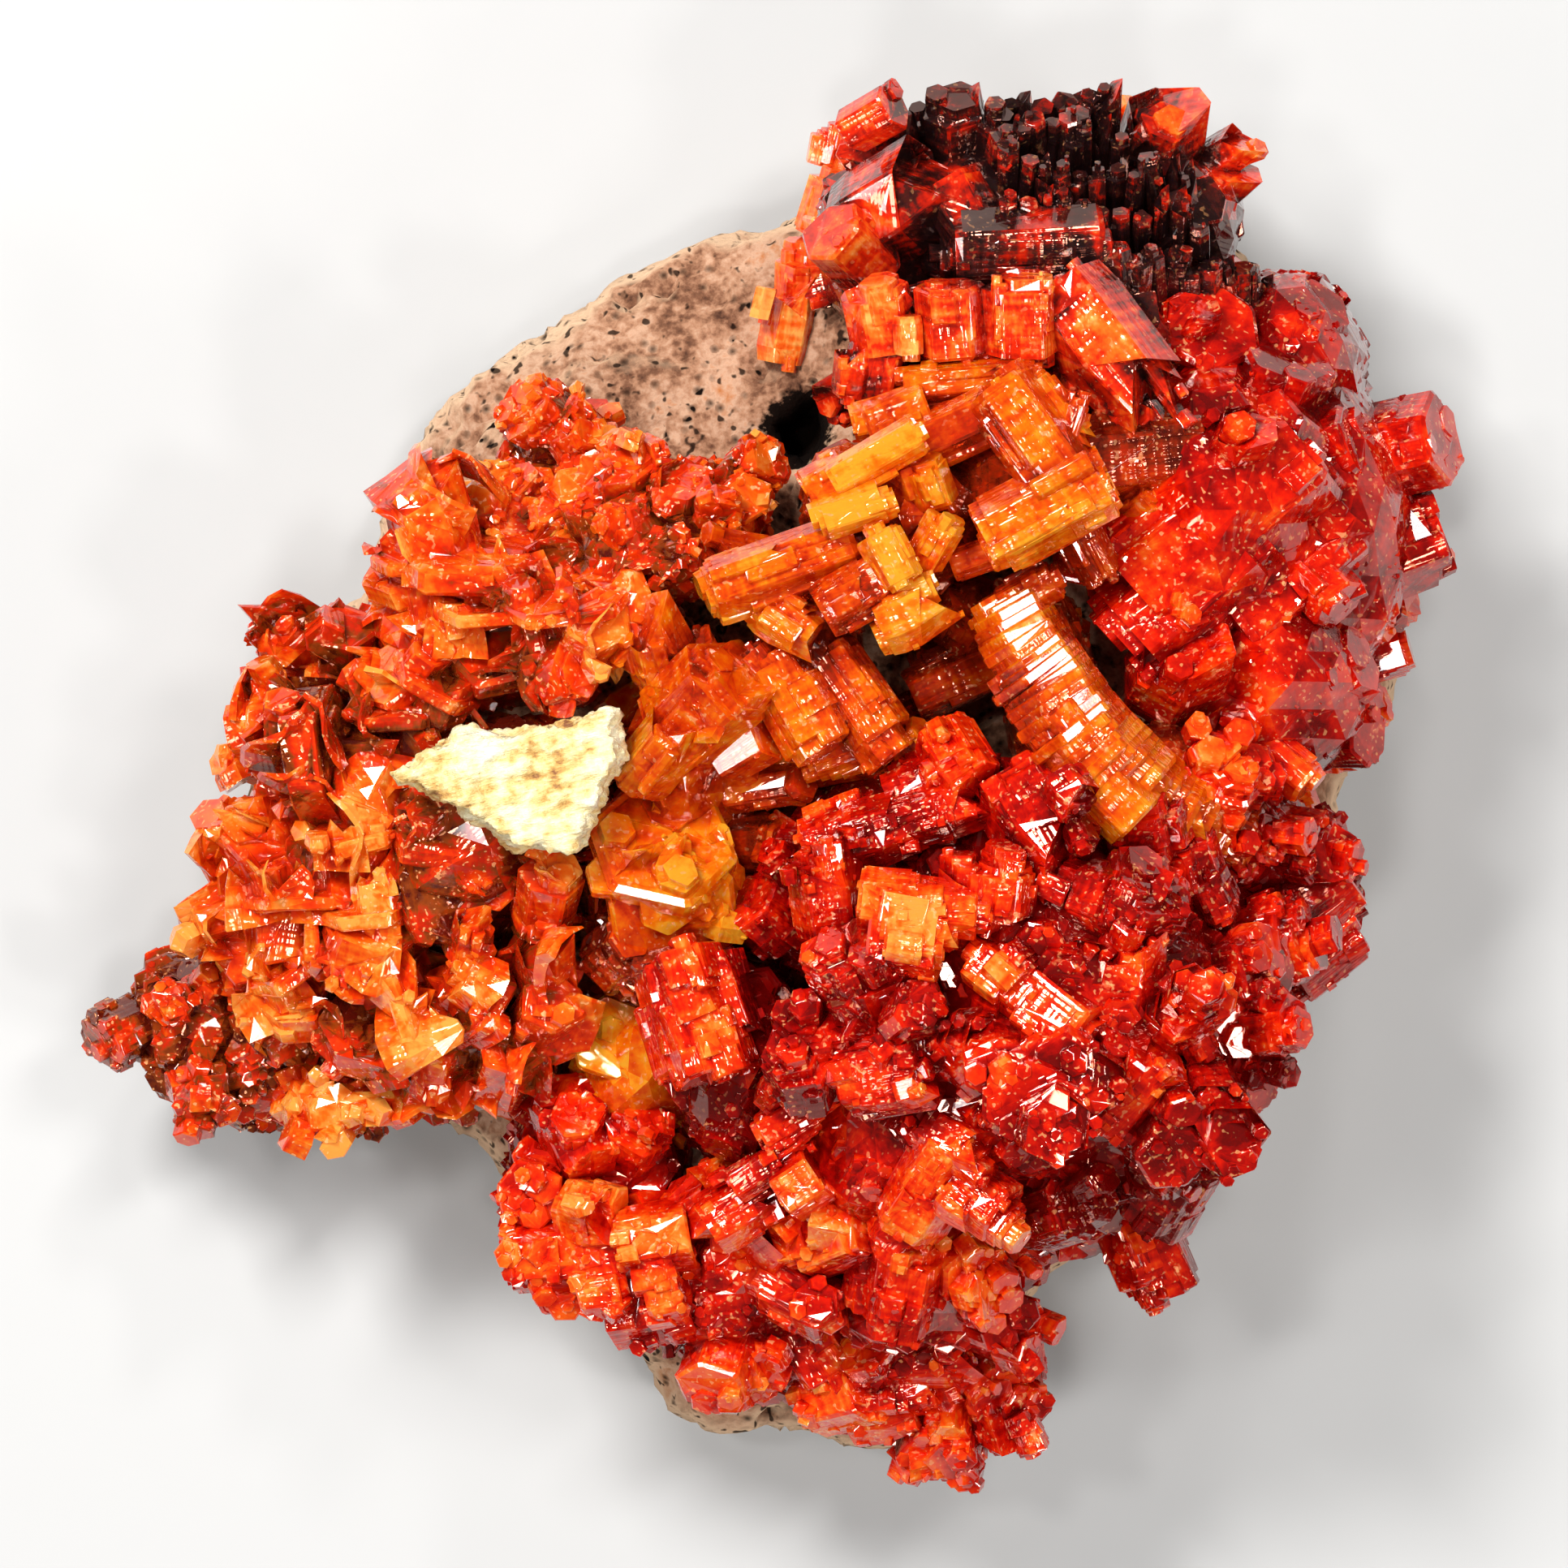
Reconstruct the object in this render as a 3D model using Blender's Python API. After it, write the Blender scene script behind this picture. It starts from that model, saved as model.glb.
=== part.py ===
"""Vanadinite on matrix: a hand specimen of deep red, six-sided vanadinite crystals grown over a tan,
porous rock, with a dark-tipped ridge, an orange nest of blocks in the middle and a flake of cream barite.

The specimen lies on its broken back. X and Y span its face, +Z points up out of the crystals, and the
origin is the middle of the surface that it rests on. Lengths below are in millimetres.
"""

import math
import random

import bmesh
import bpy
from mathutils import Matrix, Vector, noise

MM = 0.001

# Driving dimensions
RIM_HEIGHT = 3.4  # height of the rock's upper edge
CROWN_HEIGHT = 3.2  # how far the rock's middle stands above that edge
FOOT_SHARE = 0.86  # size of the flat foot against the rock's outline
FOOT_RISE = 0.9  # the foot's broken edge rises this far before it meets the rock's side
ROCK_SPOKES = 44
ROCK_RINGS = 7
ROCK_ROUGHNESS = 0.5
MIDDLE = (-0.06, 0.09)  # where the middle of the finished specimen's box falls in the places given below
TIP_INSET = 0.65  # how far inside the outline the middle of a rim crystal's tip face lies
GAP = 0.3  # clearance between one grown mass and what it grows against
DETAIL_KEPT = 0.62  # share of the crust's triangles that are kept: its shortest edges go

COLOURS = {
    "rock": (0.52, 0.33, 0.20, 0.95, 0.0),
    "barite": (0.86, 0.76, 0.52, 0.75, 0.0),
    "vanadinite": (0.45, 0.04, 0.01, 0.18, 0.0),
}

# The rock's outline, round its middle, anticlockwise from +X.
ROCK_OUTLINE = [
    (18.6, 2.1), (19.0, 5.0), (19.0, 7.6), (17.9, 10.5), (17.2, 12.8), (16.3, 14.6), (14.6, 15.6),
    (13.0, 17.4), (12.0, 19.2), (9.0, 19.6), (5.4, 19.6), (2.9, 19.4), (1.0, 18.0), (0.1, 17.2),
    (-1.8, 17.1), (-3.7, 16.4), (-6.1, 14.7), (-8.2, 13.5), (-10.2, 12.3), (-11.6, 10.2),
    (-12.4, 8.2), (-12.6, 6.2), (-13.2, 4.8), (-15.2, 4.2), (-16.2, 1.6), (-16.6, -0.8),
    (-16.8, -2.8), (-17.8, -4.8), (-19.4, -7.4), (-18.2, -9.0), (-15.2, -9.8), (-12.0, -9.8),
    (-9.6, -10.2), (-8.2, -12.6), (-6.4, -15.2), (-3.7, -17.8), (-3.0, -19.0), (-1.6, -19.8),
    (0.9, -19.5), (2.6, -20.6), (5.0, -20.4), (6.6, -19.2), (6.3, -17.0), (8.2, -14.2),
    (11.6, -13.6), (12.4, -11.2), (13.6, -9.4), (15.2, -7.2), (16.2, -3.8), (16.4, -0.6),
]

# Mounds and hollows of the rock's top: middle x, y, height (negative is a hollow) and spread.
MOUNDS = [
    (8.0, -5.5, 6.6, 6.5), (12.5, 7.0, 4.6, 5.5), (7.0, 15.5, 4.6, 4.8), (4.0, 8.0, 3.6, 3.4),
    (-9.0, -0.5, 4.6, 5.2), (-4.0, -12.5, 1.8, 4.5), (-6.5, 10.5, 1.6, 4.5), (-11.5, 10.0, -1.6, 3.0),
    (-0.4, -4.0, -3.4, 1.9), (4.4, 4.2, -3.6, 1.7), (12.0, 11.5, -2.0, 1.6), (-17.8, -6.8, -1.4, 2.4),
]
PORES = [(-4.6, 13.6, 0.55), (-2.2, 14.6, 0.7), (-6.0, 12.0, 0.6), (-3.0, 12.0, 0.5), (-0.2, 14.8, 0.6)]
VUG = (0.55, 10.9, 4.5, 1.55)  # x, y, floor height and radius of the deep hole beside the centre blocks


def lump(x, y, z, wide, deep, tall, seed=0):
    """A rounded mass of massive vanadinite that crystals stand on: middle and radii."""
    return {"kind": "lump", "at": (x, y, z), "radii": (wide, deep, tall), "seed": seed}


def block(x, y, z, azimuth, elevation, length, width, spin=0.0, flat=1.0):
    """A six-sided prism: its middle, where its axis points, its length and its width across the flats."""
    return {"kind": "block", "at": (x, y, z), "aim": (azimuth, elevation, spin), "length": length,
            "width": width, "flat": flat}


def row(start, end, count, azimuth, elevation, length, width, seed):
    """Prisms side by side along a straight line, each a little taller or shorter than the next."""
    chance = random.Random(seed)
    blocks = []
    for number in range(count):
        share = number / max(1, count - 1)
        x, y, z = (a + (b - a) * share for a, b in zip(start, end))
        blocks.append(block(
            x, y + chance.uniform(-0.3, 0.3), z + chance.uniform(-0.3, 0.3),
            azimuth + chance.uniform(-8, 8), elevation + chance.uniform(-8, 8),
            length * chance.uniform(0.8, 1.25), width * chance.uniform(0.85, 1.15), chance.uniform(0, 60)))
    return blocks


def arch(crest, count, width, seed):
    """Thin six-sided plates stacked like the pages of a bent book, so that their rims make a curved wall."""
    chance = random.Random(seed)
    plates = []
    for number in range(count):
        here = along(crest, number / (count - 1))
        ahead = along(crest, min(1.0, (number + 0.5) / (count - 1)))
        behind = along(crest, max(0.0, (number - 0.5) / (count - 1)))
        heading = ahead - behind
        azimuth = math.degrees(math.atan2(heading.y, heading.x))
        spacing = (ahead - behind).length
        plates.append(block(here.x, here.y, here.z, azimuth, 0, spacing * 1.5,
                            width * chance.uniform(0.9, 1.12), chance.uniform(-5, 5)))
    return plates


def along(path, share):
    """The point at this share of a smooth curve through the path's points."""
    place = share * (len(path) - 1)
    index = min(int(place), len(path) - 2)
    t = place - index
    before, start, end, after = (Vector(path[max(0, min(len(path) - 1, index + k))]) for k in (-1, 0, 1, 2))
    return 0.5 * (2 * start + (end - before) * t + (2 * before - 5 * start + 4 * end - after) * t * t
                  + (3 * start - before - 3 * end + after) * t ** 3)


def rim(tips, length, width, seed):
    """Prisms that lean outwards, whose far ends make the knobbly edge of the specimen."""
    chance = random.Random(seed)
    blocks = []
    for x, y, z in tips:
        azimuth = math.degrees(math.atan2(y, x)) + chance.uniform(-18, 18)
        elevation = chance.uniform(5, 30)
        size = chance.uniform(0.85, 1.2)
        reach = 0.5 * length * size + TIP_INSET
        turn, rise = math.radians(azimuth), math.radians(elevation)
        blocks.append(block(
            x - reach * math.cos(rise) * math.cos(turn), y - reach * math.cos(rise) * math.sin(turn),
            z - reach * math.sin(rise), azimuth, elevation, length * size, width * chance.uniform(0.85, 1.2),
            chance.uniform(0, 60)))
    return blocks


def coat(mass, count, width, seed, lean=25.0, lowest=0.05):
    """Crystals spread evenly over the upper side of a lump, standing out from it with a little lean."""
    chance = random.Random(seed)
    golden_turn = math.pi * (3 - math.sqrt(5))
    blocks = []
    for number in range(count):
        up = 1 - (1 - lowest) * (number + 0.5) / count
        turn = number * golden_turn + seed
        flat = math.sqrt(1 - up * up)
        facing = Vector((math.cos(turn) * flat, math.sin(turn) * flat, up))
        radii = Vector(mass["radii"])
        spot = Vector(mass["at"]) + Vector(f * r for f, r in zip(facing, radii)) * 0.96
        outwards = Vector(f / r for f, r in zip(facing, radii)).normalized()
        azimuth = math.degrees(math.atan2(outwards.y, outwards.x)) + chance.uniform(-lean, lean)
        elevation = math.degrees(math.asin(outwards.z)) + chance.uniform(-lean, lean)
        size = width * chance.uniform(0.75, 1.3)
        blocks.append(block(spot.x, spot.y, spot.z, azimuth, elevation, size * chance.uniform(0.9, 1.4),
                            size, chance.uniform(0, 60)))
    return blocks


# ---- The grown masses, in the order in which they formed: a later one is cut back from an earlier one.

BARITE = {"points": [(-5.0, 2.4), (-4.9, 1.1), (-6.2, -2.0), (-8.3, -1.9), (-10.0, -0.6), (-12.0, 0.4),
                     (-9.9, 1.6), (-8.2, 1.7)],
          "low": 12.6, "high": 16.2}

main_lumps = [
    lump(7.6, -6.6, 10.5, 7.4, 6.6, 7.2, 1), lump(12.2, -5.6, 8.0, 4.0, 4.8, 6.0, 2),
    lump(9.2, -11.9, 7.0, 3.8, 2.8, 5.6, 3), lump(3.4, -9.8, 9.5, 4.2, 4.8, 6.0, 4),
    lump(12.8, -1.6, 8.4, 3.8, 3.0, 5.6, 5), lump(3.4, -1.2, 9.6, 3.4, 2.6, 5.4, 6),
]
MAIN_DRUSE = main_lumps + [
    block(3.3, -3.7, 17.6, -8, 8, 3.0, 2.2), block(6.2, -3.2, 18.0, 80, 25, 2.2, 2.2),
    block(5.1, -3.7, 18.3, 0, 5, 1.2, 1.1), block(8.1, -6.7, 18.0, -40, 20, 2.8, 2.4),
    block(6.6, -5.8, 17.8, -40, 20, 1.8, 1.8), block(5.0, -7.8, 17.4, 40, 60, 2.0, 1.5),
    block(7.6, -9.2, 16.8, -40, 20, 2.6, 1.5), block(6.6, -9.9, 16.4, -40, 15, 2.4, 1.3),
    block(10.1, -6.3, 17.2, 80, 15, 2.8, 1.5), block(11.6, -6.7, 16.0, 50, 70, 2.0, 2.4),
    block(13.9, -5.4, 13.8, 10, 40, 2.0, 3.0), block(13.9, -8.6, 11.8, -20, 40, 2.6, 2.2),
    block(5.1, -11.8, 15.2, -35, 15, 3.8, 2.6), block(3.8, -12.3, 14.6, 60, 30, 2.2, 1.8),
    block(5.8, 0.9, 15.2, -50, 45, 1.8, 1.6), block(4.7, 0.3, 15.0, 30, 30, 1.6, 1.4),
    block(7.8, -1.1, 16.4, 60, 70, 2.4, 2.6), block(1.1, -3.1, 15.4, 95, 15, 3.0, 1.6),
    block(1.2, -1.0, 14.6, 30, 20, 3.0, 1.8), block(3.1, 0.2, 14.4, 20, 10, 3.2, 1.8),
    block(10.8, -10.6, 13.8, -40, 20, 2.6, 1.6), block(11.6, -12.1, 11.8, 60, 40, 2.4, 2.2),
    block(8.3, -12.8, 12.6, 20, 50, 2.4, 2.2), block(9.4, -3.4, 17.0, -20, 30, 2.4, 1.8),
    block(2.2, -5.8, 16.2, 120, 40, 2.4, 2.2), block(1.2, -8.2, 15.2, 100, 50, 2.4, 2.0),
    block(3.2, -8.6, 16.4, 10, 30, 2.6, 2.0), block(11.6, -2.2, 14.8, 100, 30, 3.0, 1.3),
    block(12.8, -2.8, 14.2, 110, 30, 3.0, 1.2), block(9.6, -8.8, 16.0, 30, 50, 2.6, 2.0),
    block(-0.3, -9.1, 14.6, 40, 50, 1.6, 1.4), block(0.5, -8.1, 15.0, 40, 40, 1.6, 1.4),
    block(-1.2, -11.8, 12.6, 130, 25, 1.0, 2.0), block(-0.2, -11.1, 13.4, 130, 25, 1.0, 2.0),
    block(0.8, -10.4, 14.0, 130, 25, 1.0, 2.2), block(1.7, -9.8, 14.4, 130, 25, 1.0, 2.0),
    block(-2.0, -6.9, 13.4, -75, 15, 3.2, 2.7),
    lump(-1.4, -8.4, 9.4, 2.6, 3.6, 4.4, 7),
]
MAIN_DRUSE += coat(main_lumps[0], 9, 2.6, 11) + coat(main_lumps[1], 6, 2.5, 12)
MAIN_DRUSE += coat(main_lumps[2], 4, 2.4, 13) + coat(main_lumps[4], 4, 2.2, 14)
MAIN_DRUSE += rim([
    (17.1, -1.1, 8.6), (17.6, -4.4, 7.6), (16.2, -6.9, 7.2), (15.4, -8.8, 7.0), (13.6, -10.5, 6.6),
    (13.1, -12.6, 6.2), (12.8, -14.9, 5.4), (11.0, -15.2, 5.6), (8.8, -15.0, 6.4),
], 3.0, 2.3, 15)

centre_lumps = [lump(3.4, 8.2, 11.4, 3.6, 3.0, 5.0, 21), lump(7.2, 9.2, 11.6, 3.0, 2.6, 4.8, 22),
                lump(0.8, 4.2, 10.4, 2.0, 2.6, 5.0, 23), lump(5.6, 4.6, 8.2, 2.4, 2.2, 3.6, 24)]
CENTRE_BLOCKS = centre_lumps + [
    block(0.45, 6.7, 16.6, 203, 12, 5.8, 2.1), block(2.95, 10.0, 16.8, 30, 0, 2.2, 1.5),
    block(1.95, 8.5, 17.2, 30, 0, 2.4, 1.9), block(3.2, 6.9, 17.4, 120, 4, 1.9, 1.7),
    block(3.6, 5.2, 16.8, 30, 3, 2.8, 2.2), block(1.8, 5.9, 17.2, 30, 0, 2.2, 1.7),
    block(-0.1, 5.0, 15.6, 100, 20, 2.4, 1.9), block(4.6, 7.7, 16.4, 60, 30, 2.2, 1.5),
    block(7.3, 8.2, 16.8, 28, 5, 5.6, 2.6), block(7.6, 10.7, 16.8, -50, 10, 3.6, 2.2),
    block(4.1, 11.0, 15.2, 25, 5, 3.6, 1.6), block(4.7, 9.2, 16.2, 80, 25, 2.6, 1.8),
    block(0.2, 2.7, 14.8, -55, 10, 3.8, 2.2), block(2.0, 2.7, 13.8, -50, 15, 4.2, 2.3),
    block(4.8, 3.4, 11.2, 25, 5, 3.4, 1.7), block(5.9, 5.4, 12.0, 0, 80, 2.6, 2.2),
    block(6.0, 6.6, 15.2, 200, 20, 3.0, 1.6), block(9.4, 9.4, 15.8, 60, 40, 2.4, 1.8),
    block(1.4, 1.0, 12.8, 10, 20, 3.6, 1.4), block(3.0, 8.4, 16.6, 30, 10, 2.2, 2.0),
    block(5.8, 11.4, 15.4, -20, 20, 2.6, 1.5), block(-1.0, 6.4, 13.8, 160, 30, 2.6, 2.2),
]

ARCH_CREST = [(6.4, 5.9, 14.6), (7.4, 4.6, 15.4), (8.4, 3.2, 16.0), (9.4, 1.7, 16.2), (10.6, 0.5, 15.8),
              (12.0, -0.6, 14.8), (13.6, -1.6, 12.8)]
ARCHED_ROW = [lump(8.2, 3.0, 11.4, 2.0, 3.8, 4.0, 31), lump(11.2, 0.8, 11.0, 3.0, 1.9, 3.8, 32)]
ARCHED_ROW += arch(ARCH_CREST, 12, 3.3, 33)

wall_lumps = [lump(12.6, 8.6, 9.6, 4.2, 5.2, 5.2, 41), lump(16.2, 8.4, 7.4, 3.2, 5.2, 4.6, 42),
              lump(15.6, 13.0, 6.6, 2.6, 3.0, 4.0, 43), lump(14.2, 3.6, 8.4, 4.0, 3.2, 4.8, 44)]
RIGHT_WALL = wall_lumps + [
    block(13.7, 7.9, 13.6, 40, 10, 5.6, 3.2), block(10.6, 10.3, 13.8, 0, 5, 3.4, 2.2),
    block(17.1, 6.5, 10.8, 60, 20, 3.0, 2.0), block(11.8, 3.9, 12.8, 40, 65, 3.0, 2.9),
    block(14.3, 12.2, 11.4, 70, 40, 3.0, 2.4), block(15.8, 10.2, 11.2, 10, 40, 2.8, 2.0),
    block(14.8, 4.7, 12.2, 80, 50, 2.4, 1.6), block(13.3, 6.0, 13.4, -30, 20, 2.6, 1.8),
    block(16.6, 4.0, 10.4, 30, 40, 2.4, 1.8), block(12.2, 12.4, 12.4, 110, 40, 2.6, 2.4),
    block(17.0, 2.4, 9.0, 0, 40, 2.6, 2.0), block(14.6, 2.0, 11.2, -30, 50, 2.2, 1.6),
]
RIGHT_WALL += coat(wall_lumps[0], 5, 2.3, 45) + coat(wall_lumps[1], 4, 2.3, 46)
RIGHT_WALL += rim([
    (16.0, 16.5, 5.6), (17.6, 14.9, 6.0), (18.5, 12.8, 6.6), (18.7, 10.8, 5.8), (19.3, 8.9, 5.8),
    (20.9, 7.4, 5.0), (20.1, 5.4, 5.8), (19.1, 2.9, 6.4), (17.8, 0.8, 7.2),
], 3.0, 2.3, 47)

ridge_lumps = [lump(6.4, 17.4, 8.0, 5.0, 2.9, 4.2, 51), lump(3.2, 16.6, 8.0, 2.9, 3.2, 4.4, 52),
               lump(11.6, 17.4, 7.8, 3.0, 2.8, 4.0, 53), lump(6.0, 13.6, 10.4, 4.6, 2.4, 4.6, 54),
               lump(9.6, 13.4, 11.0, 2.8, 2.6, 4.2, 55)]
DARK_RIDGE = ridge_lumps + [
    block(4.95, 19.6, 9.8, 90, 35, 3.6, 1.8, 20), block(6.0, 19.1, 10.2, 95, 38, 2.8, 1.3, 10),
    block(7.6, 19.3, 10.6, 90, 38, 2.8, 1.4), block(8.8, 19.5, 10.6, 88, 38, 2.8, 1.4),
    block(10.1, 19.2, 10.8, 86, 38, 2.8, 1.4), block(11.4, 19.4, 10.0, 80, 30, 2.6, 2.0),
    block(5.8, 16.7, 13.0, -60, 10, 3.0, 1.7), block(3.0, 14.2, 14.6, 100, 20, 2.2, 1.9),
    block(5.0, 14.2, 15.0, 90, 20, 2.4, 2.2), block(6.4, 14.4, 15.2, 90, 20, 2.6, 1.3),
    block(7.7, 14.7, 15.2, 90, 20, 2.6, 1.3), block(9.6, 13.2, 14.9, -50, 12, 4.8, 3.1),
    block(2.4, 16.8, 12.2, 140, 50, 2.4, 2.4), block(1.4, 15.4, 11.4, 160, 40, 2.2, 2.0),
    block(3.6, 18.8, 11.0, 120, 50, 2.6, 2.4), block(2.2, 12.6, 12.4, 200, 40, 2.4, 1.8),
]
DARK_RIDGE += row((7.0, 18.6, 12.2), (12.0, 18.4, 11.2), 5, 90, 42, 2.8, 1.3, 56)
DARK_RIDGE += row((6.9, 17.2, 12.8), (12.9, 16.9, 11.8), 6, 90, 42, 2.8, 1.3, 57)
DARK_RIDGE += row((11.2, 15.3, 12.8), (16.2, 14.9, 8.6), 5, 90, 40, 2.6, 1.3, 59)
DARK_RIDGE += rim([
    (3.4, 21.1, 6.4), (2.3, 19.9, 6.6), (1.3, 18.4, 6.6), (0.5, 16.9, 6.8), (11.3, 21.5, 6.8),
    (12.8, 20.5, 6.8), (14.0, 18.8, 6.4), (14.2, 17.0, 6.2),
], 2.8, 2.2, 60)

middle_lumps = [lump(-3.2, 0.6, 9.4, 2.6, 3.4, 5.4, 61), lump(-4.2, -4.2, 8.8, 2.4, 2.6, 4.4, 62)]
MIDDLE_PLATES = middle_lumps + [
    block(-2.9, -3.8, 13.4, -50, 62, 1.5, 4.0, 12), block(-3.2, -1.1, 14.0, 5, 20, 4.2, 2.4),
    block(-4.4, -5.5, 12.2, 30, 50, 2.4, 2.4), block(-2.4, 2.4, 14.8, 45, 35, 3.2, 3.0),
    block(-1.3, 1.0, 13.8, 30, 30, 2.4, 1.9), block(-4.2, 3.4, 14.4, 100, 40, 2.4, 2.0),
    block(-1.2, -2.4, 11.4, 0, 30, 2.0, 1.6), block(-3.8, 1.0, 14.6, 70, 40, 2.2, 1.8),
]

left_lumps = [lump(-9.4, -1.0, 9.0, 5.0, 3.8, 5.0, 71), lump(-13.4, -2.6, 7.4, 3.4, 4.4, 4.6, 72),
              lump(-10.6, -7.2, 6.8, 4.2, 2.8, 4.4, 73), lump(-9.2, 4.6, 7.8, 4.4, 2.8, 4.6, 74),
              lump(-14.4, 3.0, 5.6, 1.9, 2.0, 3.8, 75)]
LEFT_BLADES = left_lumps + [
    block(-9.4, 7.3, 11.4, 90, 20, 0.9, 5.2), block(-12.2, 6.9, 9.6, 120, 30, 1.0, 2.6),
    block(-6.9, 6.0, 13.0, 100, 30, 0.7, 4.0), block(-5.8, 5.0, 14.0, 60, 60, 2.0, 2.2),
    block(-6.3, 3.4, 14.2, 20, 50, 2.0, 2.0), block(-9.4, 4.2, 12.6, 170, 30, 1.5, 3.6),
    block(-14.2, 1.2, 11.4, 5, 15, 1.1, 4.0), block(-12.2, 2.4, 11.6, 90, 20, 0.6, 2.8),
    block(-15.2, 4.4, 8.6, 140, 40, 2.6, 1.6), block(-13.6, 4.4, 9.2, 100, 50, 3.0, 2.0),
    block(-16.2, -1.8, 9.0, 150, 30, 3.0, 2.6), block(-12.9, -4.1, 12.0, 60, 30, 2.4, 2.4),
    block(-16.2, -4.4, 8.2, 30, 10, 0.8, 3.4), block(-15.0, -6.6, 8.6, 100, 40, 2.2, 2.2),
    block(-12.9, -8.1, 9.4, 80, 70, 2.2, 3.0), block(-11.0, -8.3, 9.8, 80, 50, 3.0, 1.6),
    block(-13.0, -9.4, 6.4, 95, 20, 1.2, 5.0), block(-7.2, -4.1, 12.6, 80, 60, 5.0, 2.0),
    block(-7.4, -6.0, 11.8, 100, 70, 3.2, 1.6), block(-9.8, -4.3, 12.8, 70, 40, 1.8, 1.3),
    block(-11.7, -1.1, 12.8, 60, 40, 0.8, 3.2), block(-10.2, -2.8, 12.4, -20, 60, 2.6, 3.4),
    block(-13.4, -1.1, 12.0, 20, 20, 0.8, 3.2), block(-11.7, -5.6, 11.4, -60, 50, 2.0, 2.4),
    block(-10.5, -6.8, 11.0, 20, 15, 0.7, 3.4), block(-8.2, -8.3, 10.4, 70, 60, 2.6, 2.2),
    block(-11.4, 4.6, 11.4, 60, 20, 0.7, 3.0), block(-7.6, 4.6, 12.8, 140, 25, 0.7, 3.2),
    block(-15.2, -0.2, 10.0, 60, 30, 0.8, 3.0), block(-10.8, 5.8, 10.8, 20, 20, 0.7, 3.0),
]
LEFT_BLADES += rim([
    (-17.8, -2.8, 6.0), (-17.4, -0.8, 6.6), (-17.9, 1.1, 5.2), (-16.7, 3.0, 5.8),
    (-15.5, 5.2, 6.2), (-12.9, 7.8, 7.6), (-11.7, -10.4, 4.8), (-13.4, -10.5, 4.6),
], 2.8, 2.2, 76)

wing_lumps = [lump(-18.0, -7.4, 4.2, 2.3, 2.6, 2.4, 81), lump(-16.0, -9.0, 4.0, 2.6, 1.6, 2.2, 82)]
LEFT_WING = wing_lumps + rim([
    (-14.9, -10.9, 4.0), (-16.9, -10.6, 4.4), (-18.9, -9.5, 5.0), (-20.7, -8.3, 5.4), (-20.6, -6.6, 5.8),
    (-18.8, -5.4, 6.4), (-17.8, -4.1, 6.8),
], 2.5, 1.9, 83) + coat(wing_lumps[0], 5, 1.5, 84)

foot_lumps = [lump(-5.6, -12.0, 6.2, 3.6, 3.6, 4.0, 91), lump(-1.8, -14.8, 6.8, 3.8, 3.4, 4.2, 92),
              lump(-0.6, -17.2, 5.2, 3.2, 2.2, 3.2, 93), lump(4.0, -15.6, 7.4, 3.8, 2.6, 4.8, 94)]
LOWER_LEFT_CRUST = foot_lumps + [
    block(-7.0, -12.6, 8.4, 200, 70, 2.2, 3.0), block(-5.2, -14.3, 8.8, 10, 12, 1.2, 4.4),
    block(-3.6, -14.8, 9.4, 14, 12, 1.1, 4.2), block(-6.5, -10.4, 9.4, 100, 50, 2.6, 2.2),
    block(-4.8, -10.8, 9.8, 60, 55, 2.4, 2.0), block(-2.2, -12.6, 10.6, 30, 40, 2.6, 2.0),
    block(3.6, -14.9, 11.8, 80, 30, 3.0, 2.4), block(1.6, -13.6, 11.8, 20, 40, 2.6, 2.2),
    block(0.2, -15.4, 10.4, -30, 20, 2.8, 1.8), block(5.8, -14.8, 11.6, -50, 40, 2.4, 2.0),
    block(6.4, -16.4, 9.6, -20, 30, 2.6, 2.0), block(-1.2, -17.4, 8.0, 250, 40, 2.4, 2.6),
]
LOWER_LEFT_CRUST += coat(foot_lumps[1], 3, 2.2, 95) + rim([
    (-5.0, -17.0, 4.6), (-7.0, -15.5, 4.6), (-8.4, -13.6, 4.8), (-9.4, -11.2, 5.2),
    (7.2, -16.4, 6.4), (-3.5, -18.1, 4.6),
], 2.6, 2.1, 96)

tip_lumps = [lump(4.4, -19.0, 4.4, 2.8, 1.9, 3.2, 101), lump(6.2, -19.0, 4.4, 1.6, 1.6, 3.0, 102)]
BOTTOM_TIP = tip_lumps + [
    block(2.9, -18.6, 7.6, 5, 10, 2.6, 1.8), block(4.6, -20.0, 6.4, 270, 40, 2.0, 2.2),
    block(3.8, -17.8, 8.4, 0, 10, 2.8, 1.4), block(6.4, -18.9, 7.0, -40, 50, 2.4, 2.6),
    block(5.0, -18.4, 7.8, 60, 40, 2.0, 1.5),
] + rim([
    (7.3, -18.7, 4.8), (7.0, -20.2, 4.2), (5.4, -21.3, 3.8), (3.8, -21.6, 3.8),
    (2.3, -21.2, 4.0), (1.6, -19.9, 4.4),
], 2.3, 1.9, 103)

shelf_lumps = [lump(-3.2, 8.4, 9.6, 3.2, 2.0, 3.6, 111), lump(-7.2, 11.0, 7.6, 2.0, 1.8, 2.2, 112)]
SHELF_CRYSTALS = shelf_lumps + [
    block(-7.9, 8.6, 9.6, 80, 50, 0.9, 3.4), block(-7.6, 11.4, 9.0, 150, 40, 1.8, 1.8),
    block(-6.4, 10.8, 9.6, 30, 50, 1.4, 1.5), block(-4.6, 9.6, 11.8, 120, 40, 1.8, 1.6),
    block(-3.2, 9.0, 12.8, 60, 60, 1.6, 1.7), block(-2.0, 8.2, 13.0, -20, 50, 1.8, 1.6),
    block(-4.6, 8.0, 12.6, 200, 40, 1.8, 1.6), block(-3.0, 7.4, 13.2, 240, 50, 1.8, 1.5),
    block(-1.0, 9.6, 12.0, 20, 30, 1.8, 1.4), block(-5.9, 9.2, 10.6, 100, 50, 0.8, 2.6),
] + coat(shelf_lumps[0], 4, 1.5, 113)

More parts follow.
